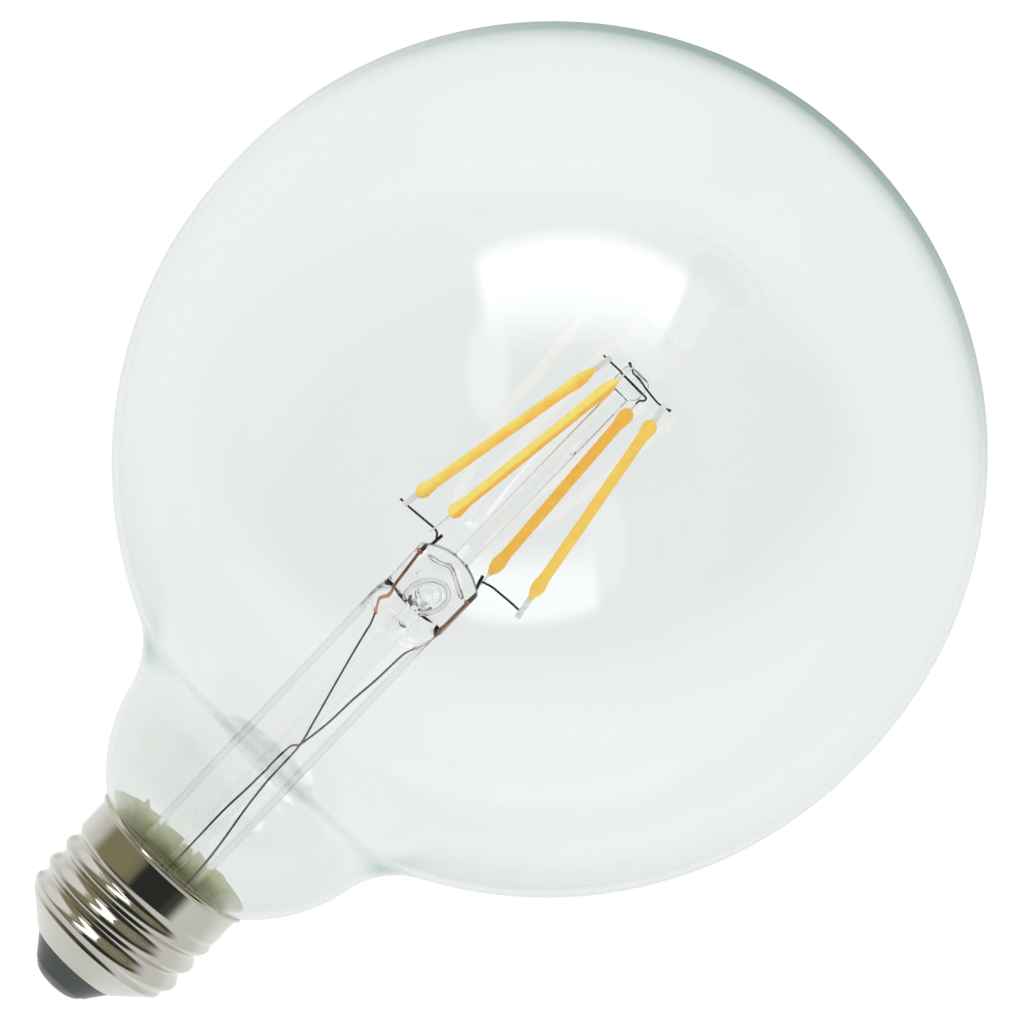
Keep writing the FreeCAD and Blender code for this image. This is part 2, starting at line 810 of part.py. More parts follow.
def fusible_resistor():
    """Axial part lying on the board, with capped ends and two bent legs."""
    x, y = resistor_place
    height = board_top + resistor_radius
    start = Vector(x - resistor_length / 2, y, height)
    body = Part.makeCylinder(resistor_radius, resistor_length, start, SIDE)
    waist_start = start + SIDE * (resistor_length - resistor_waist_length) / 2
    around = Part.makeCylinder(resistor_radius, resistor_waist_length, waist_start, SIDE)
    core_radius = resistor_radius - resistor_waist_depth
    core = Part.makeCylinder(core_radius, resistor_waist_length, waist_start, SIDE)
    body = body.cut(around.cut(core))
    legs = []
    for side in (-1, 1):
        end = Vector(x + side * resistor_length / 2, y, height)
        knee = end + SIDE * (side * resistor_leg_reach)
        legs.append(bent_wire([end, knee, Vector(knee.x, y, board_top)], resistor_leg_radius))
    return body.fuse(legs)


def board_radius():
    """Radius that lets the board sit on the insulator inside the shell's cone."""
    return shell_slope(board_bottom, sheet) - board_clearance


def driver_board():
    board = Part.makeCylinder(board_radius(), board_thickness, Vector(0, 0, board_bottom))
    return board.cut(Part.makeCylinder(contact_wire_radius, board_thickness, Vector(0, 0, board_bottom)))


def contact_wire():
    low = contact_height + contact_stem_length
    return Part.makeCylinder(contact_wire_radius, board_top - low, Vector(0, 0, low))


def shell_wire():
    """Wire from the board's edge to the inside of the shell's cone."""
    turn = math.radians(shell_wire_turn)
    out = Vector(math.cos(turn), math.sin(turn), 0)
    height = board_top + shell_wire_rise
    wall = shell_slope(height - shell_wire_radius, sheet) - shell_wire_gap
    foot = board_radius() - shell_wire_inset
    return bent_wire([
        out * foot + UP * board_top,
        out * foot + UP * height,
        out * wall + UP * height,
    ], shell_wire_radius)


def build():
    """Every piece by its name."""
    pieces = {
        "screw_shell": screw_shell(),
        "base_insulator": base_insulator(),
        "centre_contact": centre_contact(),
        "globe_glass": globe_glass(),
        "basing_cement": basing_cement(),
        "driver_board": driver_board(),
        "bridge_rectifier": bridge_rectifier(),
        "driver_chip": driver_chip(),
        "smoothing_capacitor": smoothing_capacitor(),
        "fusible_resistor": fusible_resistor(),
        "contact_wire": contact_wire(),
        "shell_wire": shell_wire(),
    }
    wires = lead_wires()
    anchors = anchor_wires()
    rod = support_rod()
    exhaust = exhaust_tube()
    stem = flared_tube().fuse(pressed_seal()).cut(stem_bore())
    stem = stem.cut([exhaust_vent(), exhaust, rod] + list(wires.values()))
    pieces["stem_tube"] = stem.cut(exhaust_seat())
    pieces["exhaust_tube"] = exhaust
    pieces["support_rod"] = rod.cut(list(anchors.values()))
    pieces.update(wires)
    pieces.update(anchors)
    pieces.update(cross_wires())
    for name in filament_places:
        parts = {
            "coat": filament_coat(name),
            "strip": filament_strip(),
            "chips": filament_chips(),
            "tabs": filament_tabs(name),
        }
        for part, shape in parts.items():
            shape.Placement = filament_frame(name)
            pieces[f"{name}_{part}"] = shape
    return pieces


os.makedirs("parts", exist_ok=True)
for node, shape in build().items():
    shape.exportStep(f"parts/{node}.step")
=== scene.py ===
"""Clear globe bulb with four light strips: its looks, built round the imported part, in metres.

The origin is the middle of the contact's flat end. +Z runs along the bulb's axis to the crown, X runs
across the pressed seal, and -Y is the front.
"""

from __future__ import annotations

import logging
import math
from dataclasses import dataclass
from enum import Enum

import bpy
import numpy as np
from mathutils import Matrix, Vector


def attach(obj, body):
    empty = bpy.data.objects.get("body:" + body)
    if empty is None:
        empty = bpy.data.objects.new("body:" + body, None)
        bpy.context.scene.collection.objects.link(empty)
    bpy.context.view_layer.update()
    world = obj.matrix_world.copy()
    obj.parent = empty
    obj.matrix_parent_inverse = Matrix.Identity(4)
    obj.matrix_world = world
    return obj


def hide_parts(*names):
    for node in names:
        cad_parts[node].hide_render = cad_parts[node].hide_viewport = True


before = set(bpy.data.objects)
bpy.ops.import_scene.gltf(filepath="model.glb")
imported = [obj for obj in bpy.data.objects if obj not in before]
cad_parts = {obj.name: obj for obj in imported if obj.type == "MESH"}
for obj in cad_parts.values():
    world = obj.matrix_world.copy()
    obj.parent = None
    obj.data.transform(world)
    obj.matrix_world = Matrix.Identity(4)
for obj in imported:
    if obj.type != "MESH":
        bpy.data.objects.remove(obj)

log = logging.getLogger("globe_bulb")

MM = 0.001
Point = tuple[float, float, float]
Colour = tuple[float, float, float]
Span = tuple[float, float]
Axes = tuple[Vector, Vector, Vector]
Piece = bpy.types.Object
Finish = bpy.types.Material
Socket = bpy.types.NodeSocket

# Heights that several pieces share
RIM_TOP = 25.9 * MM
GLOBE_CENTRE = 105.8 * MM
SEAL_TOP = 86.4 * MM

# Directions in the half plane of radius and height, and the radius that counts as on the axis
OUT = Vector((1, 0))
UP = Vector((0, 1))
ON_AXIS = 1e-9


def corners(box: tuple[Vector, Vector]) -> list[list[float]]:
    """Lowest and highest corner as plain lists."""
    return [list(corner) for corner in box]


def new_object(name: str, vertices: list, faces: list) -> Piece:
    """Makes a smooth mesh object at the origin.

    Args:
        name: The piece's name.
        vertices: Its points, in metres.
        faces: Lists of point numbers, seen anticlockwise from outside.

    Returns:
        The object, linked to the scene.
    """
    mesh = bpy.data.meshes.new(name)
    mesh.from_pydata([tuple(v) for v in vertices], [], faces)
    mesh.validate()
    mesh.shade_smooth()
    made = bpy.data.objects.new(name, mesh)
    bpy.context.scene.collection.objects.link(made)
    return made


def between(start: float, end: float, share: float) -> float:
    """Number at a share of the way from a start to an end."""
    return start + (end - start) * share


def eased(share: float) -> float:
    """Share that starts and stops gently."""
    return share * share * (3 - 2 * share)


def ring_faces(rings: int, count: int, closed: bool = False) -> list[list[int]]:
    """Faces between neighbouring rings of points.

    Args:
        rings: Number of rings.
        count: Points in each ring.
        closed: Whether the last ring joins the first.

    Returns:
        The faces, each from a ring to the next.
    """
    faces = []
    for row in range(rings if closed else rings - 1):
        low, high = row * count, (row + 1) % rings * count
        for step in range(count):
            after = (step + 1) % count
            faces.append([low + step, low + after, high + after, high + step])
    return faces


def turned(name: str, outline: list[Span], sides: int) -> Piece:
    """Makes a solid of revolution about the Z axis.

    Args:
        name: The piece's name.
        outline: Radius and height of each point, anticlockwise in the half plane of the radius, from the
            axis back to the axis or round a closed ring.
        sides: Number of steps round the axis.

    Returns:
        The object.
    """
    vertices = []
    rings = []
    for radius, height in outline:
        if radius < ON_AXIS:
            rings.append([len(vertices)] * sides)
            vertices.append((0, 0, height))
            continue
        rings.append(list(range(len(vertices), len(vertices) + sides)))
        for step in range(sides):
            turn = math.tau * step / sides
            vertices.append((radius * math.cos(turn), radius * math.sin(turn), height))
    open_ended = outline[0][0] < ON_AXIS and outline[-1][0] < ON_AXIS
    pairs = list(zip(rings, rings[1:])) if open_ended else list(zip(rings, rings[1:] + rings[:1]))
    faces = []
    for low, high in pairs:
        for step in range(sides):
            after = (step + 1) % sides
            face = []
            for number in (low[step], low[after], high[after], high[step]):
                if number not in face:
                    face.append(number)
            if len(face) > 2:
                faces.append(face)
    return new_object(name, vertices, faces)


class NodeTree:
    """Node tree of the world or of a material, with short calls that add and join its nodes."""

    def __init__(self, tree: bpy.types.NodeTree) -> None:
        """Starts with an empty tree."""
        self.tree = tree
        self.tree.nodes.clear()

    def add(self, kind: str, inputs: dict | None = None, **settings: object) -> bpy.types.Node:
        """Adds one node.

        Args:
            kind: Name of the node's type, in full or after "ShaderNode".
            inputs: Values or sockets for its inputs, by name or place.
            settings: Values of its own settings.

        Returns:
            The node.
        """
        node = self.tree.nodes.new(kind if "Node" in kind else "ShaderNode" + kind)
        for setting, value in settings.items():
            setattr(node, setting, value)
        for place, value in (inputs or {}).items():
            if isinstance(value, Socket):
                self.tree.links.new(value, node.inputs[place])
            else:
                node.inputs[place].default_value = value
        return node

    def number(self, operation: str, *values: object) -> Socket:
        """Result of a Math node."""
        return self.add("Math", dict(enumerate(values)), operation=operation).outputs[0]

    def product(self, value: Socket, *others: object) -> Socket:
        """Product of a value and the others.

        Args:
            value: The first factor.
            others: The other factors, sockets or numbers.

        Returns:
            The product.
        """
        for other in others:
            value = self.number("MULTIPLY", value, other)
        return value

    def mirrored(self) -> Socket:
        """1 for light that comes by way of a reflection, otherwise 0."""
        return self.number("GREATER_THAN", self.add("LightPath").outputs["Glossy Depth"], 0.5)

    def dot(self, vector: Socket, axis: Vector) -> Socket:
        """Length of a vector along an axis."""
        inputs = {0: vector, 1: tuple(axis)}
        return self.add("VectorMath", inputs, operation="DOT_PRODUCT").outputs["Value"]

    def fade(self, value: Socket, start: float, end: float) -> Socket:
        """Smooth step that is 0 at start and 1 at end."""
        inputs = {"Value": value, "From Min": start, "From Max": end}
        return self.add("MapRange", inputs, interpolation_type="SMOOTHSTEP").outputs["Result"]

    def blend(self, factor: object, below: object, above: object, kind: str = "MIX") -> Socket:
        """Mixes two colours.

        Args:
            factor: Share of the upper colour.
            below: The lower colour, a socket or three numbers.
            above: The upper one.
            kind: The Mix node's way of mixing.

        Returns:
            The mixed colour.
        """
        node = self.add("Mix", {"Factor": factor}, data_type="RGBA", blend_type=kind)
        for place, colour in (("A", below), ("B", above)):
            socket = next(s for s in node.inputs if s.identifier == place + "_Color")
            if isinstance(colour, Socket):
                self.tree.links.new(colour, socket)
            else:
                socket.default_value = (*colour, 1)
        return next(s for s in node.outputs if s.identifier == "Result_Color")


class ShapeTree(NodeTree):
    """Geometry Nodes tree with named inputs, which makes one plain mesh."""

    def __init__(self, name: str) -> None:
        """Starts the tree of a new shape.

        Args:
            name: The shape's name.
        """
        super().__init__(bpy.data.node_groups.new(name, "GeometryNodeTree"))
        self.values = {}
        self.entry = self.tree.nodes.new("NodeGroupInput")

    def size(self, name: str, value: object, kind: str) -> Socket:
        """Adds a named input.

        Args:
            name: The input's name.
            value: Its value on the piece.
            kind: Its socket's kind.

        Returns:
            Its socket.
        """
        socket = self.tree.interface.new_socket(name=name, in_out="INPUT", socket_type="NodeSocket" + kind)
        self.values[socket.identifier] = value
        return next(output for output in self.entry.outputs if output.identifier == socket.identifier)

    def sizes(self, shape: object, *names: str) -> dict[str, Socket]:
        """Adds a named input for each of a shape's sizes.

        Args:
            shape: What holds the sizes.
            names: Names of its fields.

        Returns:
            The sockets by name.
        """
        made = {}
        for name in names:
            value = getattr(shape, name)
            kind = "Int" if isinstance(value, int) else "Float"
            made[name] = self.size(name.replace("_", " ").capitalize(), value, kind)
        return made

    def finish(self, geometry: Socket, piece: Piece, material: Finish) -> None:
        """Ends the tree, runs it on a piece and keeps the result as the piece's plain, smooth mesh.

        Args:
            geometry: What the tree has made.
            piece: The object that takes it.
            material: The material that the tree sets.
        """
        smooth = self.add("GeometryNodeSetShadeSmooth", {"Geometry": geometry, "Shade Smooth": True})
        real = self.add("GeometryNodeRealizeInstances", {"Geometry": smooth.outputs[0]}).outputs["Geometry"]
        kept = self.size("Material", material, "Material")
        dressed = self.add("GeometryNodeSetMaterial", {"Geometry": real, "Material": kept}).outputs[0]
        self.tree.interface.new_socket(name="Geometry", in_out="OUTPUT", socket_type="NodeSocketGeometry")
        leave = self.tree.nodes.new("NodeGroupOutput")
        self.tree.links.new(dressed, leave.inputs[0])
        step = piece.modifiers.new("shape", "NODES")
        step.node_group = self.tree
        for identifier, value in self.values.items():
            if value is not None:
                step[identifier] = value
        settle(piece)


class NodeSheet(NodeTree):
    """Node tree of one material."""

    def __init__(self, name: str) -> None:
        """Starts the tree of a new material.

        Args:
            name: The finish's name.
        """
        self.material = bpy.data.materials.new(name + "_finish")
        self.material.use_nodes = True
        super().__init__(self.material.node_tree)
        self.output = self.tree.nodes.new("ShaderNodeOutputMaterial")

    def principled(self, inputs: dict) -> bpy.types.Node:
        """Adds the surface shader and joins it to the output.

        Args:
            inputs: Values or sockets for the shader's inputs, by name.

        Returns:
            The shader.
        """
        shader = self.add("BsdfPrincipled", inputs)
        self.tree.links.new(shader.outputs["BSDF"], self.output.inputs["Surface"])
        return shader

    def place(self) -> Socket:
        """Object coordinates."""
        return self.add("TexCoord").outputs["Object"]

    def noise(self, scale: float, detail: float) -> Socket:
        """Noise over Object coordinates."""
        inputs = {"Vector": self.place(), "Scale": scale, "Detail": detail}
        return self.add("TexNoise", inputs).outputs["Fac"]

    def glow_over(self, under: bpy.types.Node, share: Socket, strength: float) -> None:
        """Lays a white glow over another shader and joins both to the output.

        Args:
            under: The other shader.
            share: Share of the glow.
            strength: The glow's strength.
        """
        glow = self.add("Emission", {"Color": (1, 1, 1, 1), "Strength": strength})
        mix = self.add("MixShader", {0: share, 1: under.outputs[0], 2: glow.outputs[0]})
        self.tree.links.new(mix.outputs[0], self.output.inputs["Surface"])

    def ramp(self, factor: Socket, stops: list) -> Socket:
        """Makes a colour ramp.

        Args:
            factor: What it reads.
            stops: Its stops, each a place and a colour.

        Returns:
            The colour.
        """
        node = self.add("ValToRGB", {"Fac": factor})
        bar = node.color_ramp
        while len(bar.elements) < len(stops):
            bar.elements.new(1.0)
        for element, (place, colour) in zip(bar.elements, stops):
            element.position = place
            element.color = (*colour, 1)
        return node.outputs["Color"]

    def bump(self, height: Socket, distance: float) -> Socket:
        """Normal bent by a height map."""
        return self.add("Bump", {"Height": height, "Distance": distance, "Strength": 1.0}).outputs["Normal"]


@dataclass(frozen=True)
class ClearGlass:
    """Blown soda-lime glass, greener where it is seen along the wall and where the wall is thick.

    Each span named "along" is of how far the wall turns from view, and each one named "heights" is of
    heights. A colour fades in over it.
    """

    name: str
    tint: Colour = (1.0, 1.0, 1.0)
    edge: Colour = (0.9, 0.97, 0.94)
    low: Colour = (1.0, 1.0, 1.0)
    thick: Colour = (0.24, 0.46, 0.35)
    edge_along: Span = (0.6, 1.0)
    low_heights: Span = (78.0 * MM, 30.0 * MM)
    thick_along: Span = (0.62, 0.85)
    thick_heights: Span = (43.5 * MM, 51.5 * MM)
    index: float = 1.5
    wave_scale: float = 14.0
    wave_depth: float = 0.02 * MM

    def material(self) -> Finish:
        """Makes the finish.

        Returns:
            The node material.
        """
        sheet = NodeSheet(self.name)
        along = sheet.add("LayerWeight", {"Blend": 0.5}).outputs["Facing"]
        height = sheet.add("SeparateXYZ", {0: sheet.place()}).outputs["Z"]
        start, end = self.thick_heights
        middle = (start + end) / 2
        waist = sheet.product(sheet.fade(height, start, middle), sheet.fade(height, end, middle))
        share = sheet.product(sheet.fade(along, *self.thick_along), waist)
        body = sheet.blend(sheet.fade(height, *self.low_heights), self.tint, self.low)
        colour = sheet.blend(sheet.fade(along, *self.edge_along), body, self.edge)
        sheet.principled({
            "Base Color": sheet.blend(share, colour, self.thick),
            "Roughness": 0.0,
            "IOR": self.index,
            "Transmission Weight": 1.0,
            "Normal": sheet.bump(sheet.noise(self.wave_scale, 1), self.wave_depth),
        })
        return sheet.material


@dataclass(frozen=True)
class Grained:
    """Opaque finish that drifts between two colours, with a fine grain.

    The drift is the span of the grain's noise, from 0 to 1, over which the light colour turns into the dark.
    """

    name: str
    light: Colour
    dark: Colour
    roughness: float = 0.6
    grain: float = 900.0
    depth: float = 0.02 * MM
    drift: Span = (0.35, 0.7)
    metallic: float = 0.0

    def material(self) -> Finish:
        """Makes the finish.

        Returns:
            The node material.
        """
        sheet = NodeSheet(self.name)
        cloud = sheet.noise(self.grain, 4)
        sheet.principled({
            "Base Color": sheet.ramp(cloud, list(zip(self.drift, (self.light, self.dark)))),
            "Metallic": self.metallic,
            "Roughness": self.roughness,
            "Normal": sheet.bump(cloud, self.depth),
        })
        return sheet.material


@dataclass(frozen=True)
class Metal(Grained):
    """Plated or drawn metal with faint uneven tarnish."""

    roughness: float = 0.2
    grain: float = 300.0
    depth: float = 0.01 * MM
    drift: Span = (0.35, 0.75)
    metallic: float = 1.0


class Matte(Grained):
    """Moulded, cast or fired material."""


@dataclass(frozen=True)
class Cement:
    """Basing cement, olive in the depth and pale where it has squeezed out."""

    name: str
    deep: Colour = (0.22, 0.215, 0.02)
    middle: Colour = (0.4, 0.385, 0.11)
    middle_at: float = 0.45
    pale: Colour = (0.68, 0.67, 0.5)
    pale_heights: Span = (RIM_TOP - 2.2 * MM, RIM_TOP + 1.4 * MM)
    drift: float = 2.2 * MM
    grain: float = 420.0
    depth: float = 0.12 * MM
    roughness: float = 0.85

    def material(self) -> Finish:
        """Makes the finish.

        Returns:
            The node material.
        """
        sheet = NodeSheet(self.name)
        height = sheet.add("SeparateXYZ", {0: sheet.place()}).outputs["Z"]
        cloud = sheet.noise(self.grain, 5)
        share = sheet.fade(sheet.number("MULTIPLY_ADD", cloud, self.drift, height), *self.pale_heights)
        stops = [(0.0, self.deep), (self.middle_at, self.middle), (1.0, self.pale)]
        sheet.principled({
            "Base Color": sheet.ramp(share, stops),
            "Roughness": self.roughness,
            "Normal": sheet.bump(cloud, self.depth),
        })
        return sheet.material


@dataclass(frozen=True)
class PhosphorCoat:
    """Soft coat full of phosphor, painted paler on one side and darker on the other, as light and shade would
    fall on it.

    It has a painted glow in its own colour, though it is no lamp.
    """

    name: str
    first: Colour
    second: Colour
    edge: Span = (0.37, 0.57)
    wander: float = 0.16
    wander_scale: float = 260.0
    patch: Colour = (0.93, 0.9, 0.86)
    patch_scale: float = 700.0
    patch_drift: Span = (0.3, 0.65)
    grain: float = 900.0
    depth: float = 0.015 * MM
    roughness: float = 0.32
    # Painted glow: the coat gives off a little light in its own colour, though it is no lamp.
    glow: Colour = (1.0, 0.58, 0.1)
    painted_glow_strength: float = 0.12

    def material(self) -> Finish:
        """Makes the finish.

        Returns:
            The node material.
        """
        sheet = NodeSheet(self.name)
        # Painted light and shade: the paler colour on the lit side fades into the darker one on the shaded
        # side.
        pour = sheet.add("Attribute", attribute_name="first_pour").outputs["Fac"]
        even = sheet.number("SUBTRACT", pour, self.wander / 2)
        place = sheet.number("MULTIPLY_ADD", sheet.noise(self.wander_scale, 3), self.wander, even)
        shade = sheet.blend(sheet.fade(place, *self.edge), self.second, self.first)
        stops = list(zip(self.patch_drift, (self.patch, (1, 1, 1))))
        patches = sheet.ramp(sheet.noise(self.patch_scale, 4), stops)
        sheet.principled({
            "Base Color": sheet.blend(1.0, shade, patches, "MULTIPLY"),
            "Roughness": self.roughness,
            "Emission Color": (*self.glow, 1),
            "Emission Strength": self.painted_glow_strength,
            "Normal": sheet.bump(sheet.noise(self.grain, 2), self.depth),
        })
        return sheet.material


@dataclass(frozen=True)
class Camera:
    """The photograph's view of the globe."""

    distance: float = 0.9
    elevation: float = 6.5
    axis_slope: float = 46.58
    pixels_per_metre: float = 6930.0
    globe_right: float = 37.5
    globe_up: float = 52.3
    sensor: float = 36.0
    picture: int = 1024
    sight: Span = (0.01, 100.0)

    def axes(self) -> Axes:
        """Directions of the picture.

        Returns:
            Its right and up, and the way that the camera looks.
        """
        tilt = math.radians(self.elevation)
        slope = math.radians(self.axis_slope)
        rise = Vector((0, math.sin(tilt), math.cos(tilt)))
        side = Vector((1, 0, 0))
        right = rise * math.cos(slope) + side * math.sin(slope)
        up = rise * math.sin(slope) - side * math.cos(slope)
        return right, up, Vector((0, math.cos(tilt), -math.sin(tilt)))

    def build(self) -> Piece:
        """Makes the camera and makes it the scene's own.

        Returns:
            The camera.
        """
        right, up, ahead = self.axes()
        away = (right * self.globe_right + up * self.globe_up) / self.pixels_per_metre
        aim = Vector((0, 0, GLOBE_CENTRE)) - away
        data = bpy.data.cameras.new("camera")
        data.sensor_width = self.sensor
        data.lens = self.sensor * self.pixels_per_metre * self.distance / self.picture
        data.clip_start, data.clip_end = self.sight
        camera = bpy.data.objects.new("camera", data)
        turn = Matrix((right, up, -ahead)).transposed().to_4x4()
        camera.matrix_world = Matrix.Translation(aim - ahead * self.distance) @ turn
        bpy.context.scene.collection.objects.link(camera)
        bpy.context.scene.camera = camera
        return camera


@dataclass(frozen=True)
class SoftBox:
    """Softbox close above the bulb, which only reflections show.

    Its corners stand from the globe's middle along the picture's right and up and towards the camera.
    """

    corners: tuple = (
        (-0.070, 0.086, 0.235), (0.140, 0.125, 0.300), (0.160, 0.214, 0.150), (-0.070, 0.176, 0.125),
    )
    strength: float = 3.0
    steps: int = 12
    bow: float = 0.5
    fade_top: Span = (1.0, 0.8)
    fade_bottom: Span = (0.0, 0.6)
    fade_sides: Span = (0.5, 0.43)

    def panel(self, axes: Axes) -> Piece:
        """Makes the softbox's panel, with its shares across and up as its UV map.

        Args:
            axes: The picture's right and up, and the way that the camera looks.

        Returns:
            The panel.
        """
        right, up, ahead = axes
        middle = Vector((0, 0, GLOBE_CENTRE))
        places = [middle + right * x + up * y - ahead * z for x, y, z in self.corners]
        points, shares, faces = [], [], []
        for row in range(self.steps + 1):
            for step in range(self.steps + 1):
                across, high = step / self.steps, row / self.steps
                shares.append((across, high))
                low = places[0].lerp(places[1], across)
                points.append(low.lerp(places[3].lerp(places[2], across), high))
                if row < self.steps and step < self.steps:
                    first = row * (self.steps + 1) + step
                    faces.append([first, first + 1, first + self.steps + 2, first + self.steps + 1])
        panel = new_object("softbox", points, faces)
        spread = panel.data.uv_layers.new(name="spread")
        for loop in panel.data.loops:
            spread.data[loop.index].uv = shares[loop.vertex_index]
        return panel

    def build(self, axes: Axes) -> Piece:
        """Makes the softbox.

        Args:
            axes: The picture's right and up, and the way that the camera looks.

        Returns:
            The panel, set on the stage.
        """
        panel = self.panel(axes)
        panel.visible_camera = False
        panel.visible_diffuse = False
        panel.visible_shadow = False
        sheet = NodeSheet("softbox")
        parts = sheet.add("SeparateXYZ", {0: sheet.add("TexCoord").outputs["UV"]})
        high = parts.outputs["Y"]
        off = sheet.number("SUBTRACT", parts.outputs["X"], 0.5)
        bowed = sheet.number("MULTIPLY_ADD", sheet.product(off, off), self.bow, high)
        sides = sheet.fade(sheet.number("ABSOLUTE", off), *self.fade_sides)
        ends = sheet.product(sheet.fade(bowed, *self.fade_top), sheet.fade(high, *self.fade_bottom))
        clear = sheet.add("BsdfTransparent")
        sheet.glow_over(clear, sheet.product(sides, ends, sheet.mirrored()), self.strength)
        panel.data.materials.append(sheet.material)
        return panel


@dataclass(frozen=True)
class Patch:
    """Oval part of the room, which fades in from its outer edge to its inner one."""

    colour: Colour
    middle: Span
    half: Span
    outer: float
    inner: float

    def cover(self, tree: NodeTree, place: tuple) -> Socket:
        """Share of the patch at a place, 1 inside the oval and 0 outside it.

        Args:
            tree: The world's tree.
            place: The sockets across and up from the ball's middle.

        Returns:
            The share's socket.
        """
        squares = []
        for value, centre, half in zip(place, self.middle, self.half):
            share = tree.number("DIVIDE", tree.number("SUBTRACT", value, centre), half)
            squares.append(tree.product(share, share))
        return tree.fade(tree.number("ADD", *squares), self.outer, self.inner)


@dataclass(frozen=True)
class Studio:
    """Room and pale floor round the bulb.

    The room is laid out as a mirror ball shows it from the camera: across and up from the ball's middle,
    in shares of its radius. Only reflections show it. What is seen straight or through glass is white.
    """

    backdrop: Colour = (1.0, 1.0, 1.0)
    tent: Colour = (0.69, 0.69, 0.68)
    ceiling: Patch = Patch((0.85, 0.85, 0.85), (0.03, 0.72), (0.34, 0.16), 1.2, 0.7)
    wall: Patch = Patch((0.26, 0.23, 0.14), (-0.05, 0.07), (0.71, 0.52), 1.25, 0.75)
    wall_low: Colour = (0.06, 0.06, 0.045)
    wall_fade: Span = (0.12, -0.12)
    stand: Patch = Patch((0.03, 0.032, 0.03), (0.05, -0.05), (0.27, 0.27), 1.3, 0.7)
    window: Patch = Patch((1.05, 1.04, 1.0), (-0.15, 0.19), (0.055, 0.13), 1.2, 0.4)
    lens: Patch = Patch((0.03, 0.032, 0.03), (0.0, 0.06), (0.115, 0.115), 1.1, 0.9)
    edge: Patch = Patch((0.88, 0.89, 0.9), (0.0, 0.0), (1.0, 1.0), 0.6, 0.92)
    edge_dark: Patch = Patch((0.36, 0.46, 0.42), (0.0, 0.0), (1.0, 1.0), 0.85, 0.97)
    dark_side: Span = (0.5, 0.866)
    dark_fade: Span = (0.3, 1.05)
    deepest_mirror: float = 6.5
    bounces: int = 24
    glossy_bounces: int = 8
    floor_height: float = -0.03
    floor_size: float = 60.0
    floor_paint: Colour = (0.8, 0.8, 0.8)
    floor_strength: float = 1.06
    floor_share: float = 0.8

    def reflections(self, tree: NodeTree, axes: Axes) -> Socket:
        """Colour of the room in each direction.

        Args:
            tree: The world's tree.
            axes: The picture's right and up, and the way that the camera looks.

        Returns:
            The colour's socket.
        """
        right, up, ahead = axes
        ray = tree.add("TexCoord").outputs["Generated"]
        toward = tree.add("VectorMath", {0: ray, 1: tuple(ahead)}, operation="SUBTRACT").outputs[0]
        facing = tree.add("VectorMath", {0: toward}, operation="NORMALIZE").outputs[0]
        place = (tree.dot(facing, right), tree.dot(facing, up))
        wall = tree.blend(tree.fade(place[1], *self.wall_fade), self.wall.colour, self.wall_low)
        colour = self.tent
        for patch in (self.ceiling, self.wall, self.stand, self.window, self.lens, self.edge):
            above = wall if patch is self.wall else patch.colour
            colour = tree.blend(patch.cover(tree, place), colour, above)
        side = tree.dot(facing, right * self.dark_side[0] + up * self.dark_side[1])
        sector = tree.product(tree.fade(side, *self.dark_fade), self.edge_dark.cover(tree, place))
        return tree.blend(sector, colour, self.edge_dark.colour)

    def world(self, axes: Axes) -> None:
        """Makes the world's light.

        Args:
            axes: The picture's right and up, and the way that the camera looks.
        """
        world = bpy.data.worlds.new("studio")
        world.use_nodes = True
        bpy.context.scene.world = world
        tree = NodeTree(world.node_tree)
        path = tree.add("LightPath")
        shallow = tree.number("LESS_THAN", path.outputs["Transmission Depth"], self.deepest_mirror)
        direct = tree.number("LESS_THAN", path.outputs["Diffuse Depth"], 0.5)
        share = tree.product(tree.mirrored(), shallow, direct)
        colour = tree.blend(share, self.backdrop, self.reflections(tree, axes))
        back = tree.add("Background", {"Color": colour, "Strength": 1.0})
        output = tree.add("OutputWorld")
        tree.tree.links.new(back.outputs[0], output.inputs["Surface"])

    def floor(self) -> Piece:
        """Makes the floor, which keeps the bulb's shadow but is white otherwise.

        Returns:
            The floor, set on the stage.
        """
        half = self.floor_size / 2
        plane = [(-half, -half), (half, -half), (half, half), (-half, half)]
        floor = new_object("floor", [(x, y, self.floor_height) for x, y in plane], [[0, 1, 2, 3]])
        floor.visible_glossy = False
        floor.visible_transmission = False
        sheet = NodeSheet("floor_white")
        seen = sheet.add("LightPath").outputs["Is Camera Ray"]
        plain = sheet.add("BsdfDiffuse", {"Color": (*self.floor_paint, 1)})
        sheet.glow_over(plain, sheet.product(seen, self.floor_share), self.floor_strength)
        floor.data.materials.append(sheet.material)
        return floor

    def build(self, axes: Axes) -> None:
        """Makes the world and the floor.

        Args:
            axes: The picture's right and up, and the way that the camera looks.
        """
        scene = bpy.context.scene
        scene.view_settings.view_transform = "Standard"
        scene.cycles.max_bounces = self.bounces
        scene.cycles.transmission_bounces = self.bounces
        scene.cycles.glossy_bounces = self.glossy_bounces
        scene.cycles.blur_glossy = 0.0
        self.world(axes)
        self.floor()


def arc_points(centre: Vector, radius: float, start: Vector, end: Vector, steps: int) -> list[Vector]:
    """Points of an arc in the plane of radius and height, the short way round.

    Args:
        centre: The arc's centre.
        radius: Its radius.
        start: A point in the direction that it starts in.
        end: A point in the direction that it ends in.
        steps: Number of steps along it.

    Returns:
        The points, both ends among them.
    """
    first = (start - centre).normalized()
    last = (end - centre).normalized()
    turn = first.angle_signed(last)
    cross = Vector((first.y, -first.x))
    if cross.dot(last) < 0:
        cross = -cross
    points = []
    for step in range(steps + 1):
        angle = abs(turn) * step / steps
        points.append(centre + (first * math.cos(angle) + cross * math.sin(angle)) * radius)
    return points


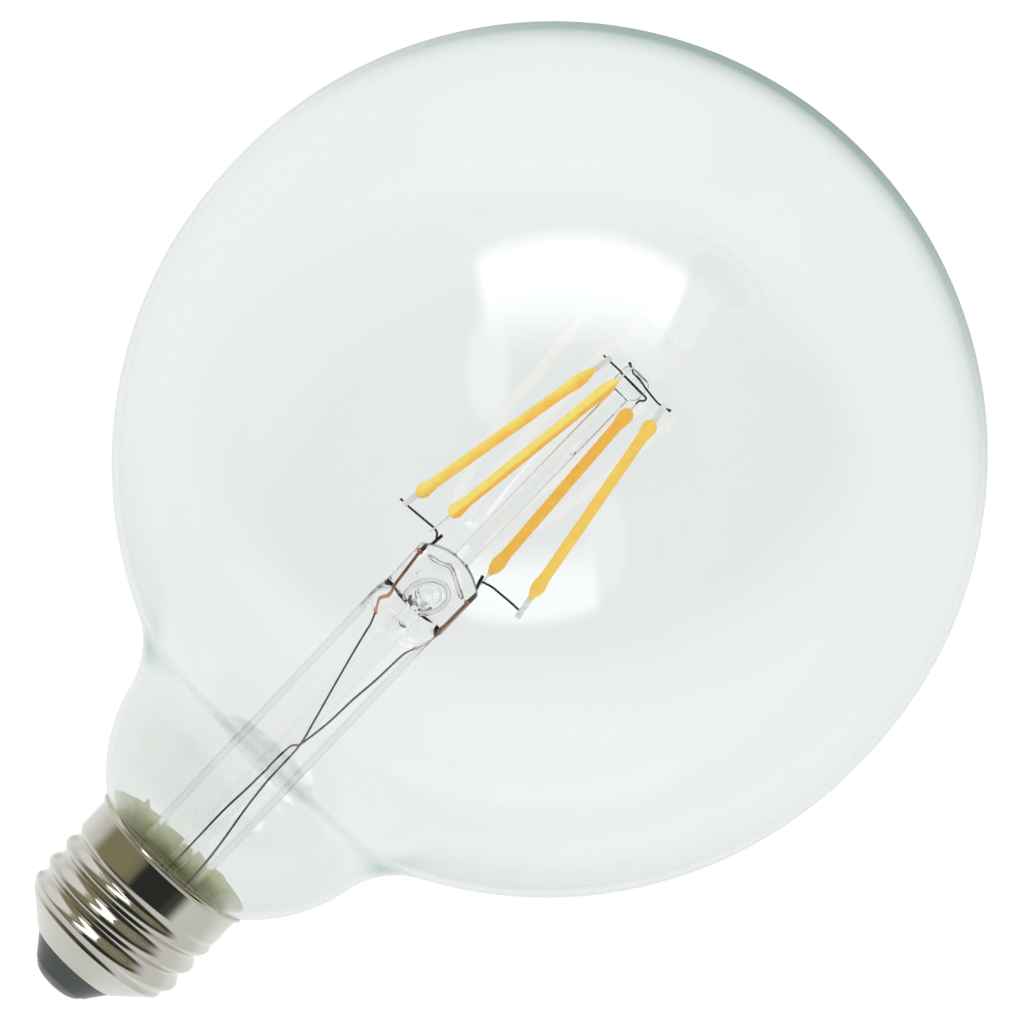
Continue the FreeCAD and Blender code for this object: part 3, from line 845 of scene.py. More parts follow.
def dress(piece: Piece, materials: dict[str, Finish], slot: str, *nodes: str) -> Piece:
    """Gives a finished piece its material and its place in the part.

    Args:
        piece: The mesh object.
        materials: The materials by slot.
        slot: The record's slot that it takes its finish from.
        nodes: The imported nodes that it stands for.

    Returns:
        The same object.
    """
    piece.data.materials.clear()
    piece.data.materials.append(materials[slot])
    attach(piece, "root")
    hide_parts(*nodes)
    triangles = sum(len(face.vertices) - 2 for face in piece.data.polygons)
    log.info("%s: %d triangles", piece.name, triangles)
    return piece


@dataclass(frozen=True)
class GlobeGlass:
    """Globe, waist, shoulder and neck, blown as one."""

    radius: float = 62.5 * MM
    stretch: float = 0.8 * MM
    wall: float = 0.9 * MM
    waist: float = 14.9 * MM
    shoulder: float = 24.7 * MM
    shoulder_above_rim: float = 19.1 * MM
    fillet: float = 2.0 * MM
    radius_at_rim: float = 13.16 * MM
    neck: float = 11.4 * MM
    neck_end: float = 14.0 * MM
    steps: tuple = (72, 56, 24, 32, 6)
    sides: int = 256

    def wall_line(self, inset: float) -> list[Span]:
        """Line of a wall, from the crown down to the neck's end.

        Args:
            inset: How far it lies inside the outer wall.

        Returns:
            Radius and height of each point.
        """
        low = Vector((0, GLOBE_CENTRE - self.stretch))
        high = Vector((0, GLOBE_CENTRE + self.stretch))
        radius = self.radius - inset
        waist = self.waist + inset
        shoulder = self.shoulder - inset
        fillet = self.fillet + inset
        neck = self.neck - inset
        height = RIM_TOP + self.shoulder_above_rim
        reach = math.sqrt(self.shoulder**2 - self.shoulder_above_rim**2)
        shoulder_centre = Vector((self.radius_at_rim - reach, height))
        span = low - shoulder_centre
        along = ((shoulder + waist) ** 2 - (radius + waist) ** 2 + span.length**2) / (2 * span.length)
        aside = math.sqrt((shoulder + waist) ** 2 - along**2)
        unit = span.normalized()
        waist_centre = shoulder_centre + unit * along + Vector((unit.y, -unit.x)) * aside
        drop = math.sqrt((shoulder + fillet) ** 2 - (neck + fillet - shoulder_centre.x) ** 2)
        fillet_centre = Vector((neck + fillet, height - drop))
        crown, side, hollow, bulge, end = self.steps
        line = arc_points(high, radius, high + UP, high + OUT, crown)
        line += arc_points(low, radius, low + OUT, waist_centre, side)
        line += arc_points(waist_centre, waist, low, shoulder_centre, hollow)[1:]
        line += arc_points(shoulder_centre, shoulder, waist_centre, fillet_centre, bulge)[1:]
        line += arc_points(fillet_centre, fillet, shoulder_centre, fillet_centre - OUT, end)[1:]
        line.append(Vector((neck, self.neck_end)))
        return [(max(0.0, point.x), point.y) for point in line]

    def build(self, materials: dict[str, Finish]) -> Piece:
        """Makes and dresses the glass."""
        piece = turned("globe", self.wall_line(self.wall) + self.wall_line(0)[::-1], self.sides)
        return dress(piece, materials, "clear_glass", "globe_glass")


@dataclass(frozen=True)
class ScrewShell:
    """Rolled shell: a cone, the thread and a flared collar, from thin sheet.

    Each level is a circle set off from the axis, and the way that it is set off turns with the height.
    """

    sheet: float = 0.3 * MM
    mouth_height: float = 4.75 * MM
    rim_height: float = RIM_TOP
    mouth: float = 7.6 * MM
    root: float = 12.17 * MM
    collar: float = 12.95 * MM
    rim: float = 13.5 * MM
    thread_from: float = 9.0 * MM
    thread_to: float = 20.6 * MM
    collar_from: float = 19.0 * MM
    rim_from: float = 25.1 * MM
    rim_widest: float = 25.55 * MM
    rim_roll: float = 0.16 * MM
    pitch: float = 3.629 * MM
    crest_at_right: float = 11.72 * MM
    throw: float = 0.465 * MM
    thread_fade: float = 1.6 * MM
    rows: int = 304
    sides: int = 160
    merge: float = 0.001 * MM

    def rise(self, tree: ShapeTree, height: Socket, start: Socket, end: Socket, amount: Socket) -> Socket:
        """Straight rise from 0 to an amount over a span of heights."""
        inputs = {"Value": height, "From Min": start, "From Max": end, "To Min": 0.0, "To Max": amount}
        return tree.add("MapRange", inputs).outputs["Result"]

    def plain_radius(self, tree: ShapeTree, size: dict[str, Socket], height: Socket) -> Socket:
        """Radius without the thread.

        Args:
            tree: The shell's tree.
            size: Sockets of its sizes by name.
            height: Height of each point.

        Returns:
            The radius.
        """
        radius = size["mouth"]
        for start, end, before, after in (
            ("mouth_height", "thread_from", "mouth", "root"),
            ("collar_from", "thread_to", "root", "collar"),
            ("rim_from", "rim_widest", "collar", "rim"),
        ):
            more = tree.number("SUBTRACT", size[after], size[before])
            radius = tree.number("ADD", radius, self.rise(tree, height, size[start], size[end], more))
        roll = self.rise(tree, height, size["rim_widest"], size["rim_height"], size["rim_roll"])
        return tree.number("SUBTRACT", radius, roll)

    def build(self, materials: dict[str, Finish]) -> Piece:
        """Makes and dresses the shell.

        Args:
            materials: The materials by slot.

        Returns:
            The piece.
        """
        tree = ShapeTree("screw_shell")
        size = tree.sizes(
            self, "mouth_height", "rim_height", "mouth", "root", "collar", "rim", "thread_from", "thread_to",
            "collar_from", "rim_from", "rim_widest", "rim_roll", "pitch", "crest_at_right", "throw",
            "thread_fade", "rows", "sides",
        )
        grid = tree.add("GeometryNodeMeshGrid", {
            "Size X": 1.0,
            "Size Y": 1.0,
            "Vertices X": tree.number("ADD", size["sides"], 1),
            "Vertices Y": tree.number("ADD", size["rows"], 1),
        })
        place = tree.add("SeparateXYZ", {0: tree.add("GeometryNodeInputPosition").outputs[0]})
        way = tree.product(tree.number("ADD", place.outputs["X"], 0.5), math.tau)
        share = tree.number("ADD", place.outputs["Y"], 0.5)
        tall = tree.number("SUBTRACT", size["rim_height"], size["mouth_height"])
        height = tree.number("MULTIPLY_ADD", share, tall, size["mouth_height"])
        ends = 1.0
        for high, low in ((height, size["thread_from"]), (size["thread_to"], height)):
            share = tree.number("DIVIDE", tree.number("SUBTRACT", high, low), size["thread_fade"])
            ends = tree.number("MINIMUM", share, ends)
        throw = tree.product(size["throw"], tree.number("MAXIMUM", ends, 0.0))
        radius = tree.number("ADD", self.plain_radius(tree, size, height), throw)
        turns = tree.number("DIVIDE", tree.number("SUBTRACT", height, size["crest_at_right"]), size["pitch"])
        angle = tree.number("SUBTRACT", way, tree.product(turns, math.tau))
        aside = tree.product(throw, tree.number("SINE", angle))
        square = tree.number("SUBTRACT", tree.product(radius, radius), tree.product(aside, aside))
        out = tree.number("MULTIPLY_ADD", throw, tree.number("COSINE", angle), tree.number("SQRT", square))
        point = tree.add("CombineXYZ", {
            "X": tree.product(out, tree.number("COSINE", way)),
            "Y": tree.product(out, tree.number("SINE", way)),
            "Z": height,
        })
        inputs = {"Geometry": grid.outputs["Mesh"], "Position": point.outputs[0]}
        moved = tree.add("GeometryNodeSetPosition", inputs)
        inputs = {"Geometry": moved.outputs[0], "Distance": self.merge}
        closed = tree.add("GeometryNodeMergeByDistance", inputs)
        piece = new_object("shell", [], [])
        tree.finish(closed.outputs[0], piece, materials["nickel_plate"])
        solid = piece.modifiers.new("sheet", "SOLIDIFY")
        solid.thickness = self.sheet
        solid.offset = -1
        settle(piece)
        return dress(piece, materials, "nickel_plate", "screw_shell")


@dataclass(frozen=True)
class Bead:
    """Ring of cement between the neck and the collar, with a ragged edge above the rim.

    The runs' rises are in mm and their spreads in degrees. The blob has an angle, a rise and a spread.
    """

    low: float = 20.7 * MM
    bore: float = 12.64 * MM
    bore_to: float = 25.1 * MM
    lip: float = 12.98 * MM
    lip_height: float = 25.6 * MM
    clear: float = 0.02 * MM
    top: float = 25.8 * MM
    film: float = 0.12 * MM
    film_drop: float = 0.15 * MM
    levels: tuple = (0, 0.25, 0.5, 0.75, 0.9, 1)
    neck_to: float = 40.0 * MM
    sides: int = 360
    runs: int = 26
    run_rise: Span = (0.04, 0.22)
    run_spread: Span = (2.5, 13)
    seed: int = 7
    blob: tuple = (129.0, 0.8 * MM, 2.2)

    def edge(self) -> list[float]:
        """Height of the ragged edge all round.

        Returns:
            The height at each side.
        """
        chance = np.random.default_rng(self.seed)
        angles = np.arange(self.sides) * 360.0 / self.sides
        heights = np.full(self.sides, self.top)
        runs = [
            (chance.uniform(0, 360), chance.uniform(*self.run_rise) * MM, chance.uniform(*self.run_spread))
            for _ in range(self.runs)
        ]
        for middle, rise, spread in runs + [self.blob]:
            away = (angles - middle + 180) % 360 - 180
            heights += rise * np.exp(-((away / spread) ** 2))
        return list(heights)

    def build(self, materials: dict[str, Finish]) -> Piece:
        """Makes and dresses the cement.

        Args:
            materials: The materials by slot.

        Returns:
            The piece.
        """
        line = GlobeGlass().wall_line(0)
        heights, glass = zip(*sorted((height, radius) for radius, height in line if height < self.neck_to))
        vertices = []
        for step, top in enumerate(self.edge()):
            turn = math.tau * step / self.sides
            inner = [self.low + (top - self.low) * share for share in self.levels]
            section = [(float(np.interp(z, heights, glass)) + self.clear, z) for z in inner]
            edge, height = section[-1]
            beside = float(np.interp(height - self.film_drop, heights, glass))
            section += [(edge + self.film / 2, height), (beside + self.film, height - self.film_drop)]
            section += [(self.lip, self.lip_height), (self.bore, self.bore_to), (self.bore, self.low)]
            vertices += [(r * math.cos(turn), r * math.sin(turn), z) for r, z in section]
        piece = new_object("cement_ring", vertices, ring_faces(self.sides, len(section), closed=True))
        return dress(piece, materials, "cement", "basing_cement")


def stacked(name: str, rings: list[list[Vector]]) -> Piece:
    """Makes a closed body from rings of equal count, capped at both ends by a fan.

    Args:
        name: The body's name.
        rings: Rings from the lowest to the highest, each anticlockwise seen from above.

    Returns:
        The object.
    """
    count = len(rings[0])
    vertices = [point for ring in rings for point in ring]
    faces = ring_faces(len(rings), count)
    for row, flip in ((0, True), (len(rings) - 1, False)):
        vertices.append(sum(rings[row], Vector()) / count)
        for step in range(count):
            pair = [row * count + step, row * count + (step + 1) % count]
            faces.append((pair[::-1] if flip else pair) + [len(vertices) - 1])
    return new_object(name, vertices, faces)


def tube_rings(path: list[Vector], radii: list[float], sides: int) -> list[list[Vector]]:
    """Rings square to a path, each with its own radius, without twist.

    Args:
        path: Points of the middle line.
        radii: Radius at each point.
        sides: Points in a ring.

    Returns:
        The rings, anticlockwise seen against the path's direction.
    """
    rings = []
    across = None
    for number, (point, radius) in enumerate(zip(path, radii)):
        before = path[max(0, number - 1)]
        after = path[min(len(path) - 1, number + 1)]
        ahead = (after - before).normalized()
        if across is None:
            across = ahead.orthogonal().normalized()
        across = (across - ahead * across.dot(ahead)).normalized()
        aside = ahead.cross(across)
        ring = []
        for step in range(sides):
            turn = math.tau * step / sides
            ring.append(point + (across * math.cos(turn) + aside * math.sin(turn)) * radius)
        rings.append(ring)
    return rings


class Join(Enum):
    """What is done with a second body."""

    MELT = "UNION"
    CUT = "DIFFERENCE"


def combine(body: Piece, tool: Piece, join: Join) -> None:
    """Melts a tool into a body or cuts it out, and removes the tool.

    Args:
        body: The body that is changed.
        tool: The other body.
        join: What is done with it.
    """
    step = body.modifiers.new("step", "BOOLEAN")
    step.operation = join.value
    step.solver = "MANIFOLD"
    step.object = tool
    settle(body)
    bpy.data.objects.remove(tool)


def settle(piece: Piece) -> None:
    """Turns a piece's modifiers into its plain mesh.

    Args:
        piece: The mesh object.
    """
    graph = bpy.context.evaluated_depsgraph_get()
    graph.update()
    old = piece.data
    piece.data = bpy.data.meshes.new_from_object(piece.evaluated_get(graph))
    piece.modifiers.clear()
    bpy.data.meshes.remove(old)


# Air pockets pressed into the seal, each point an X, a height and a half width in mm
VOIDS = (
    (
        (-3.2, 83.85, 0.12), (-2.95, 83.75, 0.32), (-2.1, 83.9, 0.38), (-1.2, 84.1, 0.32), (-0.6, 84.4, 0.3),
        (0.0, 84.75, 0.42), (0.75, 84.6, 0.42), (1.7, 84.1, 0.34), (2.7, 83.5, 0.36), (3.7, 82.95, 0.42),
        (4.3, 82.65, 0.4), (4.6, 82.5, 0.14),
    ),
    (
        (-1.35, 80.1, 0.08), (-1.25, 79.4, 0.22), (-0.75, 78.6, 0.3), (0.1, 77.95, 0.34), (0.95, 77.5, 0.34),
        (1.75, 77.35, 0.28), (2.25, 77.75, 0.2), (2.1, 78.5, 0.08),
    ),
    (
        (-0.9, 80.2, 0.08), (-0.15, 81.2, 0.22), (0.94, 81.6, 0.26), (2.0, 81.0, 0.24), (2.6, 79.9, 0.2),
        (2.55, 79.0, 0.08),
    ),
)


@dataclass(frozen=True)
class Stem:
    """Flared tube, pressed seal, pumping tube and rod, melted into one.

    The vent's flare is a row of depths and radii, and a bubble an X, a Y, a height and a radius, in mm.
    """

    sides: int = 128
    tube: float = 5.65 * MM
    bore: float = 4.65 * MM
    flare: float = 11.4 * MM
    flare_sweep: float = 4.75 * MM
    flare_top: float = 14.0 * MM
    flare_wall: float = 1.0 * MM
    flare_steps: int = 16
    tube_rows: int = 12
    blend_bottom: float = 74.5 * MM
    blend_rows: int = 20
    seal_bottom: float = 77.5 * MM
    seal_rows: int = 60
    seal_power: float = 3.0
    seal_half_width: float = 5.65 * MM
    seal_half_depth: float = 2.5 * MM
    seal_offset: float = 0.4 * MM
    dome: float = 8.355 * MM
    dome_share: float = 0.9999
    top_round: float = 1.2 * MM
    slot_from: float = 71.0 * MM
    slot_end: float = 77.6 * MM
    slot_rows: int = 24
    slot_half_width: float = 3.9 * MM
    slot_half_depth: float = 0.12 * MM
    bore_rows: int = 8
    bore_below: float = 1.0 * MM
    exhaust: float = 1.35 * MM
    exhaust_bore: float = 0.9 * MM
    exhaust_offset: float = 0.72 * MM
    exhaust_foot: float = 12.7 * MM
    exhaust_tip: float = 0.2 * MM
    exhaust_steps: int = 10
    exhaust_sides: int = 48
    exhaust_levels: tuple = (30.0 * MM, 50.0 * MM, 70.0 * MM, 76.0 * MM)
    vent_height: float = 79.3 * MM
    vent_bend: float = 1.2 * MM
    vent_bend_steps: int = 9
    vent_flare: tuple = ((1.25, 0.92), (1.75, 1.25), (1.85, 1.72), (2.45, 2.05), (2.95, 2.3), (4.5, 2.3))
    vent_long: float = 1.22
    vent_slant: float = 0.25
    vent_sides: int = 40
    lip: float = 2.5 * MM
    lip_steps: int = 48
    lip_roll: float = 0.38 * MM
    lip_sides: int = 16
    void_depth: float = 1.1 * MM
    void_deep: float = 2.4
    void_sides: int = 20
    bubbles: tuple = (
        (1.75, -0.3, 109.0, 0.2), (1.5, -0.4, 108.5, 0.14), (-2.6, -1.0, 80.9, 0.22), (3.1, -0.9, 80.4, 0.18),
    )
    bubble_long: float = 1.6
    bubble_from_pole: float = 1.5
    bubble_rows: int = 11
    bubble_sides: int = 16
    rod: float = 1.35 * MM
    rod_sides: int = 64
    rod_offset: float = 0.69 * MM
    rod_lean: float = 0.5
    rod_length: float = 37.4 * MM
    rod_sunk: float = 3.0 * MM
    button: float = 2.35 * MM
    button_height: float = 3.5 * MM
    button_round: float = 1.1 * MM
    button_steps: int = 8
    under_reach: float = 0.6 * MM
    under_out: float = 0.3 * MM
    under_rise: float = 0.1 * MM
    sharp_from: float = 40.0

    def ring(
        self, half_width: float, half_depth: float, offset: float, power: float, height: float
    ) -> list[Vector]:
        """One rounded section across the stem.

        Args:
            half_width: Its half width along X.
            half_depth: Its half depth along Y.
            offset: X of its middle.
            power: 2 for an oval, more for a squarer form.
            height: Its height.

        Returns:
            The section's points.
        """
        points = []
        for step in range(self.sides):
            turn = math.tau * step / self.sides
            x = math.copysign(abs(math.cos(turn)) ** (2 / power), math.cos(turn))
            y = math.copysign(abs(math.sin(turn)) ** (2 / power), math.sin(turn))
            points.append(Vector((offset + half_width * x, half_depth * y, height)))
        return points

    def round_ring(self, radius: float, height: float) -> list[Vector]:
        """One round section of the tube."""
        return self.ring(radius, radius, 0, 2, height)

    def flare_line(self, sweep: float) -> list[Vector]:
        """Turn from the flare up to the tube, at a distance from the turn's centre."""
        centre = Vector((self.tube + self.flare_sweep, self.flare_top + self.flare_sweep))
        return arc_points(centre, sweep, centre - UP, centre - OUT, self.flare_steps)

    def body(self) -> Piece:
        """Makes the tube and the seal as one filled body.

        Returns:
            The body.
        """
        low = Vector((self.tube + self.flare_sweep, self.flare_top + self.flare_sweep))
        foot = self.flare_top - self.flare_wall
        line = [Vector((self.flare, foot)), Vector((self.flare, self.flare_top))]
        rings = [self.round_ring(point.x, point.y) for point in line + self.flare_line(self.flare_sweep)]
        for height in np.linspace(low.y, self.blend_bottom, self.tube_rows)[1:]:
            rings.append(self.round_ring(self.tube, height))
        for share in np.linspace(0, 1, self.blend_rows)[1:]:
            ease = eased(share)
            depth = between(self.tube, self.seal_half_depth, ease)
            height = between(self.blend_bottom, self.seal_bottom, share)
            power = between(2, self.seal_power, ease)
            rings.append(self.ring(self.tube, depth, self.seal_offset * ease, power, height))
        centre = SEAL_TOP - self.dome
        for share in np.linspace(0, 1, self.seal_rows)[1:]:
            share = math.sin(share * math.pi / 2)
            height = self.seal_bottom + (SEAL_TOP - self.seal_bottom) * share * self.dome_share
            width = min(self.seal_half_width, math.sqrt(self.dome**2 - (height - centre) ** 2))
            below = max(0.0, 1 - (SEAL_TOP - height) / self.top_round)
            depth = self.seal_half_depth - self.top_round * (1 - math.sqrt(max(0.0, 1 - below**2)))
            rings.append(self.ring(width, depth, self.seal_offset, self.seal_power, height))
        return stacked("stem", rings)

    def bore_space(self) -> Piece:
        """Makes the space inside the tube, which ends in a flat slot.

        Returns:
            The space as a body.
        """
        curve = self.flare_line(self.flare_sweep + self.flare_wall)
        foot = Vector((curve[0].x, self.flare_top - self.flare_wall - self.bore_below))
        rings = [self.round_ring(point.x, point.y) for point in [foot] + curve]
        for share in np.linspace(0, 1, self.bore_rows)[1:]:
            rings.append(self.round_ring(self.bore, between(curve[-1].y, self.slot_from, share)))
        for share in np.linspace(0, 1, self.slot_rows)[1:]:
            ease = eased(share)
            width = between(self.bore, self.slot_half_width, ease)
            depth = between(self.bore, self.slot_half_depth, ease)
            height = between(self.slot_from, self.slot_end, share)
            rings.append(self.ring(width, depth, self.seal_offset * ease, 2, height))
        return stacked("bore", rings)

    def pumping_tube(self) -> Piece:
        """Makes the pumping tube as a filled body with a melted tip.

        Returns:
            The body.
        """
        tip = Vector((0, self.exhaust_foot + self.exhaust))
        end = arc_points(tip, self.exhaust, tip - UP, tip + OUT, self.exhaust_steps)
        line = [(max(0, p.x), p.y) for p in end] + [(self.exhaust, self.seal_bottom), (0, self.seal_bottom)]
        tube = turned("exhaust", line, self.exhaust_sides)
        tube.data.transform(Matrix.Translation((self.exhaust_offset, 0, 0)))
        return tube

    def rod_body(self) -> Piece:
        """Makes the rod with its melted button, leaning a little.

        Returns:
            The body.
        """
        low = self.rod_length - self.button_height
        edge = Vector((self.button - self.button_round, self.rod_length - self.button_round))
        line = [
            (0, -self.rod_sunk),
            (self.rod, -self.rod_sunk),
            (self.rod, low - self.under_reach),
            (self.rod + self.under_out, low - self.under_rise),
            (self.button - self.under_out, low + self.under_rise),
            (self.button, low + self.under_reach),
        ]
        curve = arc_points(edge, self.button_round, edge + OUT, edge + UP, self.button_steps)
        line += [(point.x, point.y) for point in curve] + [(0, self.rod_length)]
        rod = turned("rod", line, self.rod_sides)
        lean = Matrix.Rotation(math.radians(self.rod_lean), 4, "Y")
        rod.data.transform(Matrix.Translation((self.rod_offset, 0, SEAL_TOP)) @ lean)
        return rod

    def vent_lip(self) -> Piece:
        """Makes the rolled lip round the vent on the seal's front.

        Returns:
            The body.
        """
        line = []
        for step in range(self.lip_steps):
            turn = math.tau * step / self.lip_steps
            rise = self.lip * self.vent_long * math.sin(turn)
            aside = self.lip * math.cos(turn) + rise * self.vent_slant + self.exhaust_offset
            line.append(Vector((aside, -self.seal_half_depth, self.vent_height + rise)))
        middle = sum(line, Vector()) / len(line)
        vertices = []
        for point in line:
            out = (point - middle).normalized()
            for step in range(self.lip_sides):
                turn = math.tau * step / self.lip_sides
                way = out * math.cos(turn) + Vector((0, 1, 0)) * math.sin(turn)
                vertices.append(point + way * self.lip_roll)
        faces = [[a, d, c, b] for a, b, c, d in ring_faces(self.lip_steps, self.lip_sides, closed=True)]
        return new_object("lip", vertices, faces)

    def pumping_bore(self) -> Piece:
        """Makes the bore of the pumping tube, which bends to the front and opens as the vent.

        Returns:
            The space as a body.
        """
        levels = (self.exhaust_foot + self.exhaust + self.exhaust_tip, *self.exhaust_levels)
        path = [Vector((self.exhaust_offset, 0, height)) for height in levels]
        top = self.vent_height - self.vent_bend
        for share in np.linspace(0, 1, self.vent_bend_steps):
            turn = math.pi / 2 * share
            drop = (1 - math.cos(turn)) * self.vent_bend
            path.append(Vector((self.exhaust_offset, -drop, top + math.sin(turn) * self.vent_bend)))
        radii = [self.exhaust_bore] * len(path)
        for depth, radius in self.vent_flare:
            path.append(Vector((self.exhaust_offset, -depth * MM, self.vent_height)))
            radii.append(radius * MM)
        channel = stacked("channel", tube_rings(path, radii, self.vent_sides))
        for vertex in channel.data.vertices:
            if vertex.co.y < -self.vent_bend:
                rise = (vertex.co.z - self.vent_height) * self.vent_long
                vertex.co.z = self.vent_height + rise
                vertex.co.x += rise * self.vent_slant
        return channel

    def void(self, line: tuple) -> Piece:
        """Makes one air pocket of the seal.

        Args:
            line: Its points, each an X, a height and a half width in mm.

        Returns:
            The space as a body.
        """
        points = [Vector((x * MM, 0, z * MM)) for x, z, _ in line]
        void = stacked("void", tube_rings(points, [radius * MM for _, _, radius in line], self.void_sides))
        for vertex in void.data.vertices:
            vertex.co.y = vertex.co.y * self.void_deep - self.void_depth
        return void

    def bubble(self, x: float, y: float, z: float, radius: float) -> Piece:
        """Makes one long bubble.

        Args:
            x: X of its middle, in mm.
            y: Y of its middle, in mm.
            z: Its height, in mm.
            radius: Its radius, in mm.

        Returns:
            The space as a body.
        """
        line = []
        for turn in np.linspace(-self.bubble_from_pole, self.bubble_from_pole, self.bubble_rows):
            line.append((radius * MM * math.cos(turn), self.bubble_long * radius * MM * math.sin(turn)))
        bubble = turned("bubble", [(0, line[0][1])] + line + [(0, line[-1][1])], self.bubble_sides)
        bubble.data.transform(Matrix.Translation((x * MM, y * MM, z * MM)))
        return bubble

    def build(self, materials: dict[str, Finish]) -> Piece:
        """Makes and dresses the stem.

        Args:
            materials: The materials by slot.

        Returns:
            The piece.
        """
        piece = self.body()
        combine(piece, self.bore_space(), Join.CUT)
        for glass in (self.pumping_tube(), self.rod_body(), self.vent_lip()):
            combine(piece, glass, Join.MELT)
        spaces = [self.void(line) for line in VOIDS] + [self.bubble(*bubble) for bubble in self.bubbles]
        for space in [self.pumping_bore()] + spaces:
            combine(piece, space, Join.CUT)
        piece.data.shade_smooth()
        piece.data.set_sharp_from_angle(angle=math.radians(self.sharp_from))
        return dress(piece, materials, "stem_glass", "stem_tube", "exhaust_tube", "support_rod")


@dataclass(frozen=True)
class OuterLead:
    """Stranded lead from the seal down the tube to the driver's board.

    Its route gives X and Y as shares of the bore's radius and the share of the height above the board.
    The knot, the pad, the bore, the board's top and the rise are in mm.
    """

    name: str
    knot: Point
    route: tuple
    pad: Span
    bore: float = 4.65
    board_top: float = 7.2
    rise: float = 1.3
    strands: int = 7
    strand_radius: float = 0.055 * MM
    strand_sides: int = 6
    spread: float = 0.1 * MM
    twist_length: float = 2.6 * MM
    steps: int = 24

    def line(self) -> list[Vector]:
        """Smooth line through the knot, the bends and the pad.

        Returns:
            Its points.
        """
        knot = Vector(self.knot)
        points = [knot]
        for x, y, share in self.route:
            points.append(Vector((x * self.bore, y * self.bore, between(self.board_top, knot.z, share))))
        pad = Vector((*self.pad, self.board_top))
        points += [pad + Vector((0, 0, self.rise)), pad]
        ends = [points[0] * 2 - points[1]] + points + [points[-1] * 2 - points[-2]]
        line = []
        for before, start, end, after in zip(ends, ends[1:], ends[2:], ends[3:]):
            for step in range(self.steps):
                t = step / self.steps
                curve = start * 2 + (end - before) * t + (before * 2 - start * 5 + end * 4 - after) * t**2
                line.append((curve + (start * 3 - before - end * 3 + after) * t**3) * 0.5 * MM)
        return line + [pad * MM]

    def build(self, materials: dict[str, Finish]) -> Piece:
        """Makes and dresses the lead.

        Args:
            materials: The materials by slot.

        Returns:
            The piece.
        """
        points = self.line()
        piece = new_object(self.name + "_strands", points, [])
        piece.data.edges.add(len(points) - 1)
        for number, edge in enumerate(piece.data.edges):
            edge.vertices = (number, number + 1)
        tree = ShapeTree(self.name)
        wire = tree.size("Line", None, "Geometry")
        size = tree.sizes(self, "strands", "strand_radius", "strand_sides", "spread", "twist_length")
        curve = tree.add("GeometryNodeMeshToCurve", {"Mesh": wire}).outputs["Curve"]
        along = tree.add("GeometryNodeSplineParameter").outputs["Length"]
        tilt = tree.product(tree.number("DIVIDE", along, size["twist_length"]), math.tau)
        twisted = tree.add("GeometryNodeSetCurveTilt", {"Curve": curve, "Tilt": tilt})
        rings = []
        for count, radius in (("strands", "spread"), ("strand_sides", "strand_radius")):
            inputs = {"Resolution": size[count], "Radius": size[radius]}
            rings.append(tree.add("GeometryNodeCurvePrimitiveCircle", inputs).outputs["Curve"])
        bundle = tree.add("GeometryNodeInstanceOnPoints", {"Points": rings[0], "Instance": rings[1]})
        profile = tree.add("GeometryNodeRealizeInstances", {"Geometry": bundle.outputs["Instances"]})
        body = tree.add("GeometryNodeCurveToMesh", {
            "Curve": twisted.outputs["Curve"],
            "Profile Curve": profile.outputs["Geometry"],
            "Fill Caps": True,
        })
        tree.finish(body.outputs["Mesh"], piece, materials["strand_wire"])
        return dress(piece, materials, "strand_wire", self.name)


OUTER_LEADS = [
    OuterLead("left_outer_lead", (-2.898, 0, 73.397), (
        (-0.467, -0.323, 0.942), (-0.155, -0.645, 0.846), (0.249, -0.731, 0.725), (0.437, -0.731, 0.659),
        (0.467, -0.720, 0.570), (0.561, -0.667, 0.481), (0.748, -0.495, 0.369), (0.828, -0.366, 0.300),
        (0.839, -0.409, 0.240), (0.903, -0.710, 0.110),
    ), (4.4, -4.2)),
    OuterLead("right_outer_lead", (4.249, 0, 72.899), (
        (0.817, -0.237, 0.950), (0.746, -0.452, 0.885), (0.654, -0.516, 0.818), (0.591, -0.516, 0.740),
        (0.437, -0.516, 0.667), (0.249, -0.516, 0.640), (0.187, -0.505, 0.528), (0.125, -0.495, 0.438),
        (0.125, -0.505, 0.292), (0.086, -0.602, 0.120),
    ), (0.2, -3.2)),
]


class CoatEnd(Enum):
    """How a coat ends: radius at the tip, widest radius, its depth, the end's length in mm, and a power."""

    ROUND = (0.45, 1.1, 1.3, 3.4, 2.4)
    CONE = (0.2, 1.06, 2.3, 4.4, 1.15)
    TAPER = (0.25, 0.99, 3.4, 6.0, 1.15)

    def radius(self, depth: float, body: float) -> float:
        """Radius at a depth from the tip.

        Args:
            depth: The depth, in mm.
            body: Radius of the coat's body, in mm.

        Returns:
            The radius, in mm.
        """
        tip, widest, wide_at, length, power = self.value
        if depth >= length:
            return body
        if depth >= wide_at:
            return between(widest, body, eased((depth - wide_at) / (length - wide_at)))
        share = depth / wide_at
        if self is CoatEnd.ROUND:
            return widest * math.sqrt(max(0.0, 1 - (1 - share) ** power))
        return tip + (widest - tip) * math.sin(share * math.pi / 2) ** power


